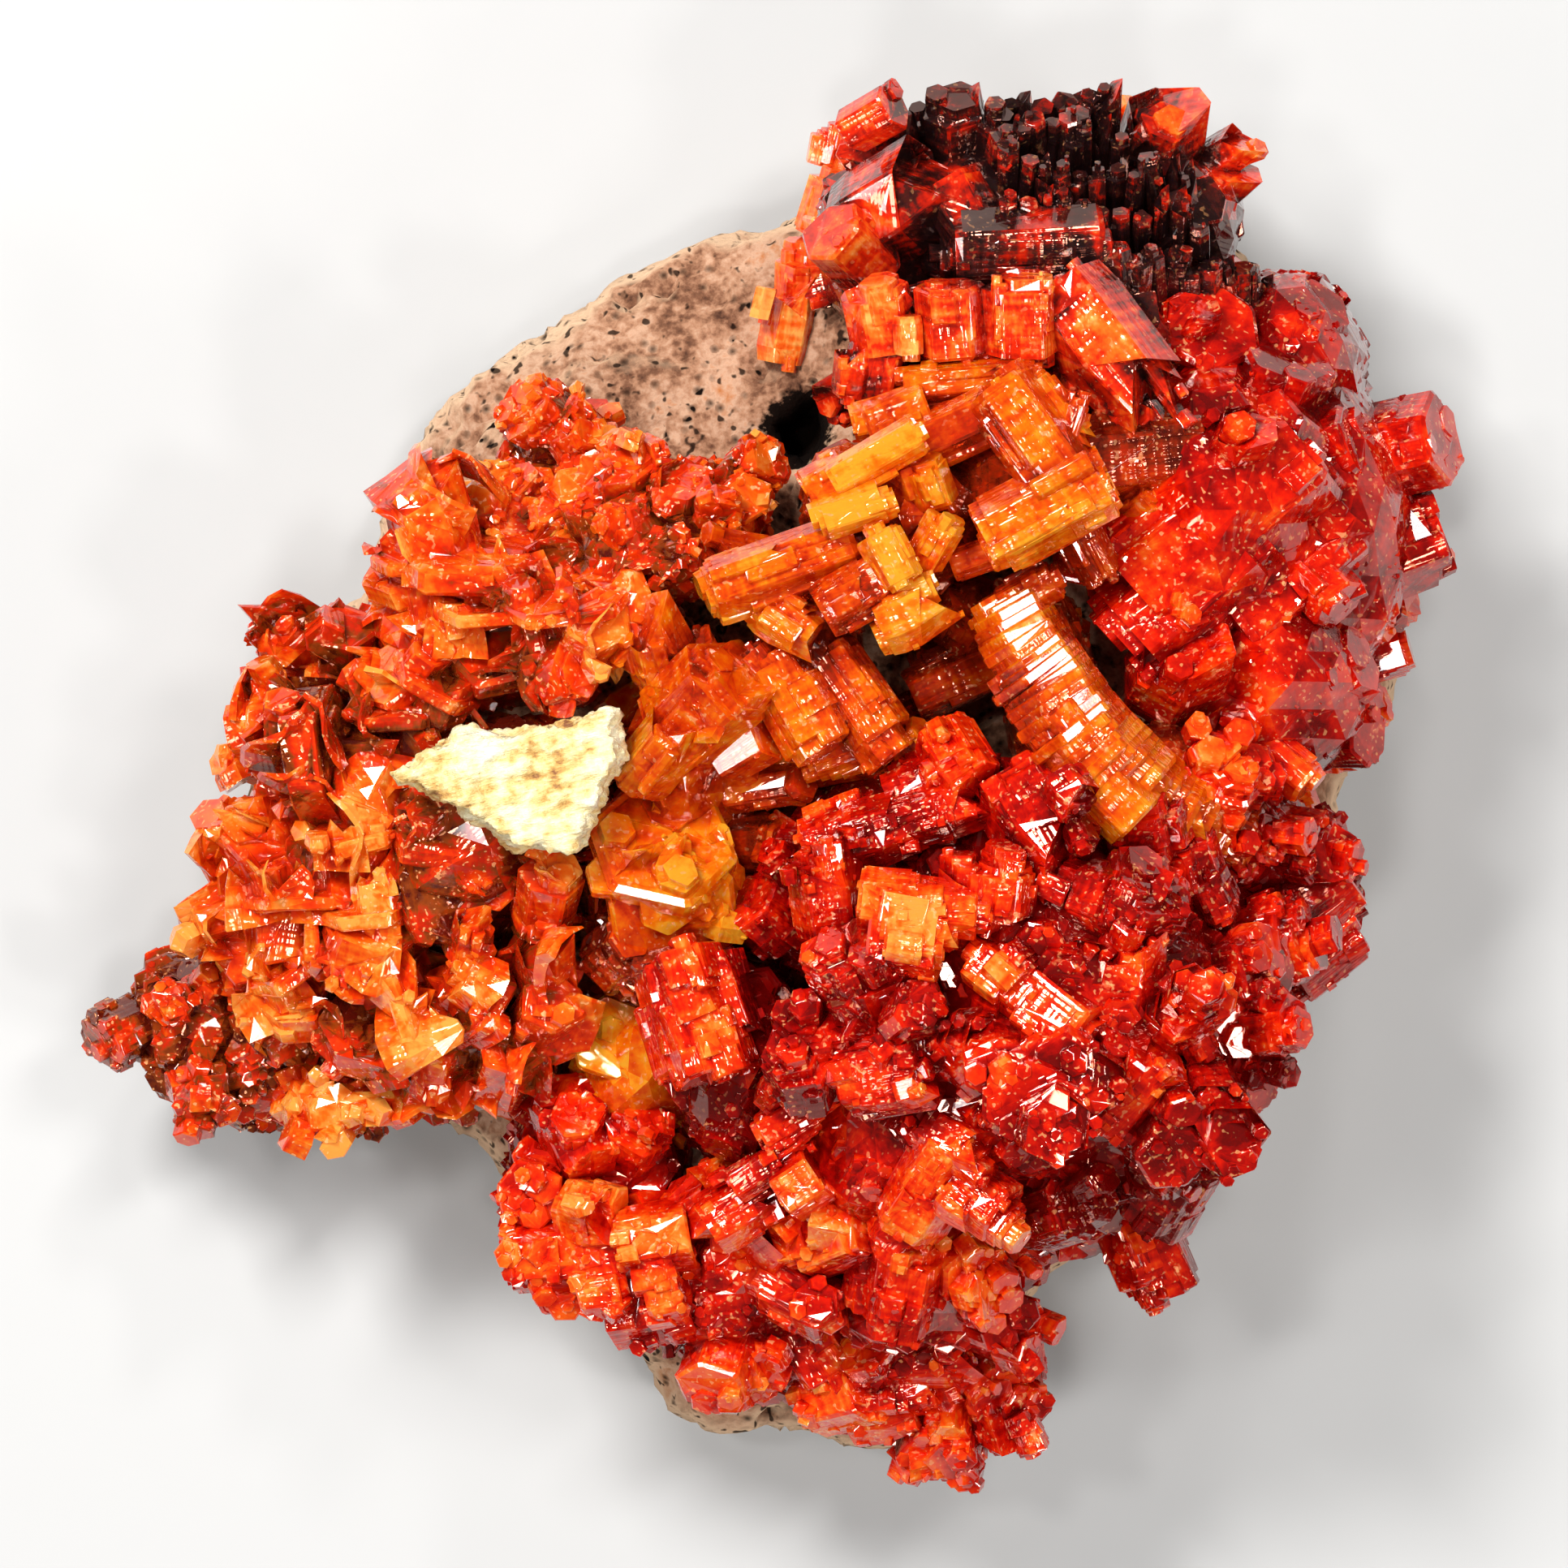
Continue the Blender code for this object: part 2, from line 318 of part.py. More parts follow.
CRUST = (MAIN_DRUSE + CENTRE_BLOCKS + ARCHED_ROW + RIGHT_WALL + DARK_RIDGE + MIDDLE_PLATES + LEFT_BLADES
         + LEFT_WING + LOWER_LEFT_CRUST + BOTTOM_TIP + SHELF_CRYSTALS)


# ---- Shapes

def finish(name):
    """The named finish as a material."""
    material = bpy.data.materials.get(name)
    if material is None:
        red, green, blue, roughness, metallic = COLOURS[name]
        material = bpy.data.materials.new(name)
        material.use_nodes = True
        shader = material.node_tree.nodes["Principled BSDF"]
        shader.inputs["Base Color"].default_value = (red, green, blue, 1)
        shader.inputs["Roughness"].default_value = roughness
        shader.inputs["Metallic"].default_value = metallic
    return material


def put(name, mesh):
    """An object of that name in the scene, which holds the mesh."""
    obj = bpy.data.objects.new(name, mesh)
    bpy.context.scene.collection.objects.link(obj)
    return obj


def show(name, mesh, colour):
    """Puts a finished piece into the scene, with the specimen's middle moved to the origin and its finish on."""
    mesh.transform(Matrix.Translation((-MIDDLE[0] * MM, -MIDDLE[1] * MM, 0)))
    mesh.materials.clear()
    mesh.materials.append(finish(colour))
    put(name, mesh)


def mesh_from(shape, name):
    mesh = bpy.data.meshes.new(name)
    shape.to_mesh(mesh)
    shape.free()
    return mesh


def aimed(azimuth, elevation, spin):
    """A turn that points local Z along the aim, with a flat side of the prism uppermost at spin 0."""
    turn, rise = math.radians(azimuth), math.radians(elevation)
    axis = Vector((math.cos(rise) * math.cos(turn), math.cos(rise) * math.sin(turn), math.sin(rise)))
    side = Vector((-math.sin(turn), math.cos(turn), 0))
    frame = Matrix((side, axis.cross(side), axis)).transposed()
    return frame.to_4x4() @ Matrix.Rotation(math.radians(spin), 4, "Z")


def block_mesh(made, swell):
    """A six-sided prism, made larger all round by swell."""
    shape = bmesh.new()
    radius = (made["width"] / 2 + swell) / math.cos(math.pi / 6)
    bmesh.ops.create_cone(shape, cap_ends=True, segments=6, radius1=radius * MM, radius2=radius * MM,
                          depth=(made["length"] + 2 * swell) * MM)
    vertex_at_side = Matrix.Rotation(math.radians(30), 4, "Z")
    place = Matrix.Translation(Vector(made["at"]) * MM) @ aimed(*made["aim"]) @ vertex_at_side
    bmesh.ops.transform(shape, matrix=place, verts=shape.verts)
    return mesh_from(shape, "block")


def lump_mesh(made, swell):
    """A rounded, slightly uneven mass."""
    shape = bmesh.new()
    bmesh.ops.create_icosphere(shape, subdivisions=1, radius=1.12)
    radii = [r + swell for r in made["radii"]]
    for vertex in shape.verts:
        uneven = 1 + 0.10 * noise.noise(vertex.co * 1.7 + Vector((made["seed"] * 3.1, 0, 0)))
        vertex.co = Vector((at + c * r * uneven) * MM
                           for at, c, r in zip(made["at"], vertex.co, radii))
    return mesh_from(shape, "lump")


def solid_mesh(made, swell=0.0):
    return block_mesh(made, swell) if made["kind"] == "block" else lump_mesh(made, swell)


def combine(mesh, tools, operation):
    """The mesh joined with, or cut by, all the tool meshes at once. Hundreds of crystals meet at random here,
    where the exact solver leaves a few open edges, so this one uses the manifold solver."""
    holder = bpy.data.collections.new("tools")
    bpy.context.scene.collection.children.link(holder)
    for tool in tools:
        holder.objects.link(bpy.data.objects.new("tool", tool))
    body = put("body", mesh)
    change = body.modifiers.new("Combine", "BOOLEAN")
    change.operation = operation
    change.operand_type = "COLLECTION"
    change.collection = holder
    change.solver = "MANIFOLD"
    graph = bpy.context.evaluated_depsgraph_get()
    result = bpy.data.meshes.new_from_object(body.evaluated_get(graph))
    for obj in [body, *holder.objects]:
        bpy.data.objects.remove(obj)
    bpy.data.collections.remove(holder)
    return result


def thinned(mesh, share):
    """The mesh with its least telling edges collapsed, down to this share of its triangles."""
    body = put("body", mesh)
    change = body.modifiers.new("Thin", "DECIMATE")
    change.ratio = share
    result = bpy.data.meshes.new_from_object(body.evaluated_get(bpy.context.evaluated_depsgraph_get()))
    bpy.data.objects.remove(body)
    return result


def main_body(mesh):
    """The largest closed piece of a mesh, which leaves out chips that a cut has parted from it."""
    shape = bmesh.new()
    shape.from_mesh(mesh)
    unseen, islands = set(shape.verts), []
    while unseen:
        island, edge_of_search = set(), [unseen.pop()]
        while edge_of_search:
            vertex = edge_of_search.pop()
            island.add(vertex)
            for edge in vertex.link_edges:
                other = edge.other_vert(vertex)
                if other in unseen:
                    unseen.discard(other)
                    edge_of_search.append(other)
        islands.append(island)
    largest = max(islands, key=len)
    bmesh.ops.delete(shape, geom=[v for v in shape.verts if v not in largest], context="VERTS")
    bmesh.ops.triangulate(shape, faces=shape.faces)
    bmesh.ops.recalc_face_normals(shape, faces=shape.faces)
    return mesh_from(shape, mesh.name)


# ---- The rock

def outline_radius(angle):
    """How far the rock's outline is from its middle in this direction."""
    polar = sorted((math.atan2(y, x) % math.tau, math.hypot(x, y)) for x, y in ROCK_OUTLINE)
    polar = [(polar[-1][0] - math.tau, polar[-1][1]), *polar, (polar[0][0] + math.tau, polar[0][1])]
    for (start, near), (end, far) in zip(polar, polar[1:]):
        if start <= angle % math.tau <= end:
            return near + (far - near) * (angle % math.tau - start) / (end - start)
    raise ValueError("the outline has a gap")


def rock_height(x, y, share):
    """Height of the rock's top at x, y; share is 0 at its middle and 1 at its outline."""
    height = RIM_HEIGHT + CROWN_HEIGHT * (1 - share ** 3)
    for middle_x, middle_y, rise, spread in MOUNDS:
        height += rise * math.exp(-((x - middle_x) ** 2 + (y - middle_y) ** 2) / (2 * (spread * 0.72) ** 2))
    height += ROCK_ROUGHNESS * noise.noise(Vector((x * 0.55, y * 0.55, 0)))
    return max(height, RIM_HEIGHT * 0.8)


def rock_mesh(swell=0.0):
    """The host rock: a flat broken foot, a bulging side and a mounded top, made larger by swell."""
    shape = bmesh.new()
    rings = []
    for share, height in ((FOOT_SHARE, 0.0), (0.95, FOOT_RISE), (1.0, 0.62 * RIM_HEIGHT)):
        rings.append([(share, height + 0.35 * noise.noise(Vector((spoke * 0.7, height, 5))) * (height > 0))
                      for spoke in range(ROCK_SPOKES)])
    for step in range(ROCK_RINGS):
        rings.append([(0.985 * (1 - step / ROCK_RINGS) ** 0.9, None)] * ROCK_SPOKES)
    loops = []
    for ring in rings:
        loop = []
        for spoke, (share, height) in enumerate(ring):
            angle = math.tau * spoke / ROCK_SPOKES
            radius = outline_radius(angle) * share
            x, y = radius * math.cos(angle), radius * math.sin(angle)
            z = rock_height(x, y, share) if height is None else height
            loop.append(shape.verts.new((x * MM, y * MM, z * MM)))
        loops.append(loop)
    for lower, upper in zip(loops, loops[1:]):
        for spoke in range(ROCK_SPOKES):
            after = (spoke + 1) % ROCK_SPOKES
            shape.faces.new((lower[spoke], lower[after], upper[after], upper[spoke]))
    crown = shape.verts.new((0, 0, rock_height(0, 0, 0) * MM))
    for spoke in range(ROCK_SPOKES):
        shape.faces.new((loops[-1][spoke], loops[-1][(spoke + 1) % ROCK_SPOKES], crown))
    shape.faces.new(reversed(loops[0]))
    shape.normal_update()
    if swell:
        shifts = [(vertex, vertex.normal * swell * 1.25 * MM) for vertex in shape.verts]
        for vertex, shift in shifts:
            vertex.co += shift
    bmesh.ops.triangulate(shape, faces=shape.faces)
    return mesh_from(shape, "rock_matrix")


def pit_mesh(x, y, floor, radius):
    """A ragged, tapering cutter for a hole in the rock, open at the top."""
    shape = bmesh.new()
    top = 22.0
    bmesh.ops.create_cone(shape, cap_ends=True, segments=8, radius1=radius * 0.75 * MM, radius2=radius * 1.35 * MM,
                          depth=(top - floor) * MM)
    for vertex in shape.verts:
        vertex.co += Vector((noise.noise(vertex.co * 900 + Vector((x, y, 0))), 0, 0)) * radius * 0.4 * MM
    bmesh.ops.translate(shape, vec=Vector((x, y, (top + floor) / 2)) * MM, verts=shape.verts)
    return mesh_from(shape, "pit")


def barite_mesh(swell=0.0):
    """The cream flake: a ragged slab, thinner along its upper edge."""
    shape = bmesh.new()
    middle = Vector((sum(x for x, _ in BARITE["points"]), sum(y for _, y in BARITE["points"]))) / len(BARITE["points"])
    loops = []
    for level, share in ((BARITE["low"] - swell, 0.86), (BARITE["high"] - 0.8, 1.0), (BARITE["high"] + swell, 0.9)):
        loop = []
        for x, y in BARITE["points"]:
            out = Vector((x, y)) - middle
            spot = middle + out * share + out.normalized() * swell * 1.3
            uneven = 0.35 * noise.noise(Vector((x, y, level)))
            loop.append(shape.verts.new(Vector((spot.x, spot.y, level + uneven)) * MM))
        loops.append(loop)
    count = len(BARITE["points"])
    for lower, upper in zip(loops, loops[1:]):
        for index in range(count):
            shape.faces.new((lower[index], lower[(index + 1) % count], upper[(index + 1) % count], upper[index]))
    shape.faces.new(reversed(loops[0]))
    shape.faces.new(loops[-1])
    bmesh.ops.recalc_face_normals(shape, faces=shape.faces)
    bmesh.ops.triangulate(shape, faces=shape.faces)
    return mesh_from(shape, "barite_flake")


def build():
    for obj in list(bpy.data.objects):
        bpy.data.objects.remove(obj)
    pits = [pit_mesh(*VUG)] + [pit_mesh(x, y, 6.0, radius) for x, y, radius in PORES]
    rock = combine(rock_mesh(), pits, "DIFFERENCE")
    show("rock_matrix", main_body(rock), "rock")
    show("barite_flake", barite_mesh(), "barite")
    crust = combine(solid_mesh(CRUST[0]), [solid_mesh(made) for made in CRUST[1:]], "UNION")
    crust = combine(crust, [rock_mesh(GAP), barite_mesh(GAP)], "DIFFERENCE")
    show("vanadinite_crust", main_body(thinned(crust, DETAIL_KEPT)), "vanadinite")


build()
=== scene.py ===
"""The look of a vanadinite specimen: its rock, its flake of barite, and the crystals that grew over both."""

import math
import random

import bmesh
import bpy
from mathutils import Matrix, Vector, noise


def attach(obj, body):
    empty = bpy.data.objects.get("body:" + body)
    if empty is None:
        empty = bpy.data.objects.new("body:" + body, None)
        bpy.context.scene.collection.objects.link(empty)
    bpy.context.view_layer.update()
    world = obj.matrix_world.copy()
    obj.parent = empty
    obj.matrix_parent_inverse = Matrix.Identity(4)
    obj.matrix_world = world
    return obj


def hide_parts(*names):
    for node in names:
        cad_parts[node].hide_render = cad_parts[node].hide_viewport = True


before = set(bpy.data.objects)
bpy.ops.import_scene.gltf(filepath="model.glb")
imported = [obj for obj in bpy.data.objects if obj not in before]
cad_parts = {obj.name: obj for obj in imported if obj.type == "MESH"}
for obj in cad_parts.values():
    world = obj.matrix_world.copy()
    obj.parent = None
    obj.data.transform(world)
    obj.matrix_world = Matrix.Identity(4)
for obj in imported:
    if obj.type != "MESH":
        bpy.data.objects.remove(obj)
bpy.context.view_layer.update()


# ---- Stage: a table of pale, matt paper under soft lights, with the camera straight above it, where the
# crystals face. Each light is a bright rectangle that the crystals' flat sides mirror.

MM = 0.001
TABLE = 1.6
LIGHTS = {  # name: azimuth and elevation in degrees, distance, width, height and power
    "window_light": (128, 52, 0.36, 0.10, 0.07, 1.75),
    "side_light": (-30, 38, 0.40, 0.06, 0.12, 0.6),
    "top_light": (40, 66, 0.42, 0.05, 0.10, 0.6),
    "low_light": (205, 40, 0.40, 0.05, 0.10, 0.4),
    "overhead_light": (250, 74, 0.45, 0.05, 0.06, 0.4),
    "spark_light_a": (310, 58, 0.40, 0.042, 0.04, 0.3),
    "spark_light_b": (165, 68, 0.42, 0.04, 0.04, 0.28),
    "spark_light_c": (80, 44, 0.40, 0.042, 0.04, 0.3),
}
ROOM_COLOUR = (0.09, 0.088, 0.09, 1)
CAMERA_HEIGHT = 0.4115
FOCAL_LENGTH = 300
SENSOR_WIDTH = 36


class Wire:
    """A socket of a node tree. Arithmetic on it adds Math nodes, and node() adds any other node."""

    def __init__(self, socket):
        self.socket = socket

    @staticmethod
    def node(tree, kind, settings=None, values=None, out=0):
        """Adds a node: first its settings, then the values or links of its sockets. Gives one output."""
        made = tree.nodes.new(kind)
        for name, value in (settings or {}).items():
            if name == "stops":
                for stop in list(made.color_ramp.elements)[1:]:
                    made.color_ramp.elements.remove(stop)
                for index, (place, colour) in enumerate(value):
                    stop = made.color_ramp.elements.new(place) if index else made.color_ramp.elements[0]
                    stop.position, stop.color = place, (*colour, 1)
            else:
                setattr(made, name, value)
        for name, value in (values or {}).items():
            for one in value if isinstance(value, list) else [value]:
                if isinstance(one, Wire):
                    tree.links.new(one.socket, made.inputs[name])
                else:
                    made.inputs[name].default_value = one
        return Wire(made.outputs[out])

    def __getitem__(self, name):
        return Wire(self.socket.node.outputs[name])

    def maths(self, operation, *terms):
        tree = self.socket.id_data
        return Wire.node(tree, "ShaderNodeMath", {"operation": operation}, dict(enumerate(terms)))

    def vector(self, operation, term, out=0):
        """Vector arithmetic with one more term, which is a number when the operation is SCALE."""
        return Wire.node(self.socket.id_data, "ShaderNodeVectorMath", {"operation": operation},
                         {0: self, "Scale" if operation == "SCALE" else 1: term}, out)

    def part(self, axis):
        """The X, Y or Z of a vector."""
        return Wire.node(self.socket.id_data, "ShaderNodeSeparateXYZ", None, {0: self}, axis)

    def test(self, operation, limit):
        return Wire.node(self.socket.id_data, "FunctionNodeCompare", {"operation": operation},
                         {0: self, 1: limit})

    def __add__(self, other):
        return self.maths("ADD", self, other)

    def __sub__(self, other):
        return self.maths("SUBTRACT", self, other)

    def __rsub__(self, other):
        return self.maths("SUBTRACT", other, self)

    def __mul__(self, other):
        return self.maths("MULTIPLY", self, other)

    def __truediv__(self, other):
        return self.maths("DIVIDE", self, other)

    def __rtruediv__(self, other):
        return self.maths("DIVIDE", other, self)

    def ramp(self, low, high):
        """0 where this is at low or less, 1 where it is at high or more, and even between them."""
        return Wire.node(self.socket.id_data, "ShaderNodeMapRange", {"clamp": True},
                         {"Value": self, "From Min": low, "From Max": high})

    __radd__ = __add__
    __rmul__ = __mul__


def finish(name, **plain):
    """A new Principled material with these values on its sockets, its tree, and its place in millimetres."""
    material = bpy.data.materials.new(name)
    material.use_nodes = True
    tree = material.node_tree
    shader = tree.nodes["Principled BSDF"]
    for socket, value in plain.items():
        shader.inputs[socket.replace("_", " ")].default_value = value
    place = Wire.node(tree, "ShaderNodeTexCoord", out="Object")
    place = place.vector("SCALE", 1 / MM)
    return material, tree, shader, place


def grain(tree, place, scale, detail=3.0, roughness=0.55, stretch=None):
    """Soft noise from 0 to 1, with this many bumps in a millimetre."""
    if stretch:
        place = place.vector("MULTIPLY", stretch)
    return Wire.node(tree, "ShaderNodeTexNoise", None,
                     {"Vector": place, "Scale": scale, "Detail": detail, "Roughness": roughness})


def link(wire, shader, socket):
    wire.socket.id_data.links.new(wire.socket, shader.inputs[socket])


def pointing(azimuth, elevation):
    """The direction at this azimuth and elevation, in degrees."""
    turn, rise = math.radians(azimuth), math.radians(elevation)
    return Vector((math.cos(rise) * math.cos(turn), math.cos(rise) * math.sin(turn), math.sin(rise)))


def meshed(name, shape):
    """A mesh from the working shape, which is freed."""
    mesh = bpy.data.meshes.new(name)
    shape.to_mesh(mesh)
    shape.free()
    return mesh


def stand(name, data):
    obj = bpy.data.objects.new(name, data)
    bpy.context.scene.collection.objects.link(obj)
    return obj


paper, paper_tree, paper_shader, paper_place = finish(
    "table_paper", Base_Color=(0.37, 0.367, 0.36, 1), Roughness=0.75)
link(grain(paper_tree, paper_place, 0.5).ramp(-3, 3.4), paper_shader, "Roughness")
table = bmesh.new()
bmesh.ops.create_grid(table, x_segments=1, y_segments=1, size=TABLE / 2)
table_mesh = meshed("table", table)
table_mesh.materials.append(paper)
stand("table", table_mesh)

for light_name, (azimuth, elevation, distance, width, height, power) in LIGHTS.items():
    lamp = bpy.data.lights.new(light_name, "AREA")
    lamp.shape, lamp.size, lamp.size_y, lamp.energy = "RECTANGLE", width, height, power
    spot = pointing(azimuth, elevation) * distance
    holder = stand(light_name, lamp)
    holder.location = spot
    holder.rotation_euler = (Vector((0, 0, 0.01)) - spot).to_track_quat("-Z", "Y").to_euler()

world = bpy.data.worlds.new("room")
world.use_nodes = True
world.node_tree.nodes["Background"].inputs["Color"].default_value = ROOM_COLOUR
bpy.context.scene.world = world
bpy.context.scene.view_settings.view_transform = "Standard"

lens = bpy.data.cameras.new("camera")
lens.lens, lens.sensor_width = FOCAL_LENGTH, SENSOR_WIDTH
lens.clip_start, lens.clip_end = 0.01, 10
camera = stand("camera", lens)
camera.location = (0, 0, CAMERA_HEIGHT)
bpy.context.scene.camera = camera


# ---- Rock: the tan, porous host that the crystals grew on. Its upper left is bare, with pores, rusty
# stains and a pale, worn rim. Its broken back is below.

ROCK_GRAIN = 0.42  # size of the mesh's cells, in millimetres
rock_sizes = {"Lumps": 0.8, "Grit": 0.34, "Pores": 0.8, "Swell": 0.4}
ROCK_FOOT = [  # middles and radii of the knobs at its lower end, in millimetres
    (-1.4, -18.3, 2.4, 2.6, 1.7, 2.3), (1.0, -18.4, 2.2, 1.6, 1.5, 1.9),
]
FOOT_HEIGHT = 0.6  # up to this height in millimetres, the rock stays flat and smooth
VUG = (0.6, 10.8, 2.8)  # middle of a near-black patch of painted shade that stands for a hollow in the rock, in millimetres, with its height halved
HALF_HEIGHT = (1, 1, 0.5)  # makes the painted hollow twice as tall as it is wide


def modifier_from(obj, tree, values):
    """Puts the tree on obj as a modifier, with its named inputs set, and gives the mesh that it makes."""
    change = obj.modifiers.new("made", "NODES")
    change.node_group = tree
    for item in tree.interface.items_tree:
        if item.in_out == "INPUT" and item.name in values:
            change[item.identifier] = values[item.name]
    graph = bpy.context.evaluated_depsgraph_get()
    mesh = bpy.data.meshes.new_from_object(obj.evaluated_get(graph))
    bpy.data.objects.remove(obj)
    return mesh


def tree_with(name, inputs):
    """An empty Geometry Nodes tree with these named inputs, and a wire from each."""
    tree = bpy.data.node_groups.new(name, "GeometryNodeTree")
    tree.interface.new_socket("Geometry", in_out="OUTPUT", socket_type="NodeSocketGeometry")
    tree.interface.new_socket("Geometry", in_out="INPUT", socket_type="NodeSocketGeometry")
    for title, kind in inputs.items():
        tree.interface.new_socket(title, in_out="INPUT", socket_type=f"NodeSocket{kind}")
    source = tree.nodes.new("NodeGroupInput")
    return tree, {title: Wire(source.outputs[title]) for title in ("Geometry", *inputs)}


def end_tree(tree, geometry, material):
    """Ends a tree with real geometry and its material."""
    geometry = Wire.node(tree, "GeometryNodeRealizeInstances", None, {"Geometry": geometry})
    geometry = Wire.node(tree, "GeometryNodeSetMaterial", None, {"Geometry": geometry, "Material": material})
    tree.links.new(geometry.socket, tree.nodes.new("NodeGroupOutput").inputs[0])


def weathered(tree, geometry, given):
    """Roughens a surface with lumps and grit, and sinks pores into it."""
    place = Wire.node(tree, "GeometryNodeInputPosition")
    place = place.vector("SCALE", 1 / MM)
    pores = Wire.node(tree, "ShaderNodeTexVoronoi", None, {"Vector": place, "Scale": 0.9, "Randomness": 1.0})
    where = grain(tree, place, 0.35).ramp(0.42, 0.56)
    depth = (1 - pores["Distance"].ramp(0.12, 0.42)) * where * given["Pores"]
    rise = (grain(tree, place, 0.7) - 0.5) * given["Lumps"]
    rise = rise + (grain(tree, place, 2.8) - 0.5) * given["Grit"] - depth
    height = place.part("Z")
    rise = rise + height.ramp(0.4, 3.0) * given["Swell"]
    facing = Wire.node(tree, "GeometryNodeInputNormal")
    shift = facing.vector("SCALE", rise * MM)
    above_foot = height.test("GREATER_THAN", FOOT_HEIGHT)
    return Wire.node(tree, "GeometryNodeSetPosition", None,
                     {"Geometry": geometry, "Selection": above_foot, "Offset": shift})


def pebble(name):
    """A rounded, slightly uneven mass of radius one."""
    shape = bmesh.new()
    bmesh.ops.create_icosphere(shape, subdivisions=3, radius=1.0)
    for vertex in shape.verts:
        broad = noise.noise(vertex.co * 1.7 + Vector((3.1, 0, 0)))
        vertex.co *= 1 + 0.16 * broad + 0.05 * noise.noise(vertex.co * 5)
    return meshed(name, shape)


def remeshed(node, cell, knobs=()):
    """A copy of a CAD node's mesh, with knobs added, as even cells that are ready for fine relief."""
    shape = bmesh.new()
    shape.from_mesh(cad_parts[node].data)
    bmesh.ops.remove_doubles(shape, verts=shape.verts, dist=1e-6)
    for x, y, z, wide, deep, tall in knobs:
        knob = pebble(node + "_knob")
        radii = Matrix.Diagonal((wide * MM, deep * MM, tall * MM, 1))
        knob.transform(Matrix.Translation(Vector((x, y, z)) * MM) @ radii)
        shape.from_mesh(knob)
    body = stand(node + "_body", meshed(node, shape))
    change = body.modifiers.new("cells", "REMESH")
    change.mode, change.voxel_size, change.use_smooth_shade = "VOXEL", cell * MM, True
    return body


def mixed(tree, share, first, second):
    """The second colour laid over the first by share."""
    return Wire.node(tree, "ShaderNodeMix", {"data_type": "RGBA"}, {0: share, 6: first, 7: second}, out=2)


def bump(relief, shader, strength, depth):
    """Shades a surface as if it rose and fell with the relief, by this many millimetres."""
    link(Wire.node(relief.socket.id_data, "ShaderNodeBump", None,
                   {"Strength": strength, "Distance": depth * MM, "Height": relief}), shader, "Normal")


rock_finish, rock_tree, rock_shader, rock_place = finish(
    "weathered_rock", Roughness=0.9, IOR=1.45, Specular_IOR_Level=0.08)
stain = grain(rock_tree, rock_place, 0.45, 5)
speck = grain(rock_tree, rock_place, 3.2, 4)
pits = Wire.node(rock_tree, "ShaderNodeTexVoronoi", None, {"Vector": rock_place, "Scale": 1.7})["Distance"]
tan = Wire.node(rock_tree, "ShaderNodeValToRGB", {"stops": [
    (0.34, (0.035, 0.014, 0.009)), (0.43, (0.15, 0.065, 0.035)), (0.50, (0.30, 0.15, 0.085)),
    (0.58, (0.42, 0.25, 0.16)), (0.70, (0.34, 0.12, 0.04))]}, {"Fac": stain * 0.6 + speck * 0.4})
steep = Wire.node(rock_tree, "ShaderNodeNewGeometry", out="Normal").part("Z")
rim = 1 - (steep + (stain - 0.5) * 0.5).ramp(0.35, 0.72)
cream = mixed(rock_tree, rim * 0.85, tan, (0.60, 0.40, 0.25, 1))
hole = rock_place.vector("MULTIPLY", HALF_HEIGHT).vector("DISTANCE", VUG, out="Value")
pinholes = 1 - grain(rock_tree, rock_place, 2.6, 1).ramp(0.30, 0.37)
# Painted shade: pits, pinholes and the hollow are coloured near-black, as if in shadow inside holes.
painted_hole_shade = (1 - pits.ramp(0.05, 0.30)) * 0.85 + pinholes * 0.9 + (1 - (hole + speck).ramp(1.7, 2.1)) * 2
link(mixed(rock_tree, painted_hole_shade.ramp(0, 1), cream, (0.005, 0.002, 0.001, 1)), rock_shader, "Base Color")
rock_relief = speck * 0.5 + grain(rock_tree, rock_place, 9, 3) * 0.25 + pits.ramp(0.0, 0.3) * 0.8
bump(rock_relief, rock_shader, 0.7, 0.2)

weather_tree, given = tree_with("weathering", {name: "Float" for name in rock_sizes})
end_tree(weather_tree, weathered(weather_tree, given["Geometry"], given), rock_finish)
rock = stand("rock", modifier_from(remeshed("rock_matrix", ROCK_GRAIN, ROCK_FOOT), weather_tree, rock_sizes))
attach(rock, "root")
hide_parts("rock_matrix")


# ---- Barite: one cream flake of fibrous, crumbly barium sulphate, with brown stains between its fibres.
# It is wedged in the left side of the crust, where the blades around it hold it.

BARITE_GRAIN = 0.11  # size of the mesh's cells, in millimetres
barite_finish, barite_tree, barite_shader, barite_place = finish("cream_barite", Roughness=0.7, IOR=1.63)
fibre_place = Wire.node(barite_tree, "ShaderNodeMapping", None,
                        {"Vector": barite_place, "Rotation": (0, 0, -0.25)})
fibres = grain(barite_tree, fibre_place, 1.0, 6, 0.7, (0.55, 2.6, 1.3))
blotches = grain(barite_tree, barite_place, 0.42, 3)
flecks = grain(barite_tree, barite_place, 2.4, 4)
cream_tone = Wire.node(barite_tree, "ShaderNodeValToRGB", {"stops": [
    (0.32, (0.20, 0.06, 0.012)), (0.38, (0.52, 0.28, 0.06)), (0.45, (0.68, 0.50, 0.19)),
    (0.54, (0.74, 0.65, 0.38)), (0.68, (0.78, 0.73, 0.55))]}, {
        "Fac": fibres * 0.45 + flecks * 0.4 + blotches * 0.55 - 0.225})
link(cream_tone, barite_shader, "Base Color")
bump(fibres + flecks * 0.6, barite_shader, 1.0, 0.3)

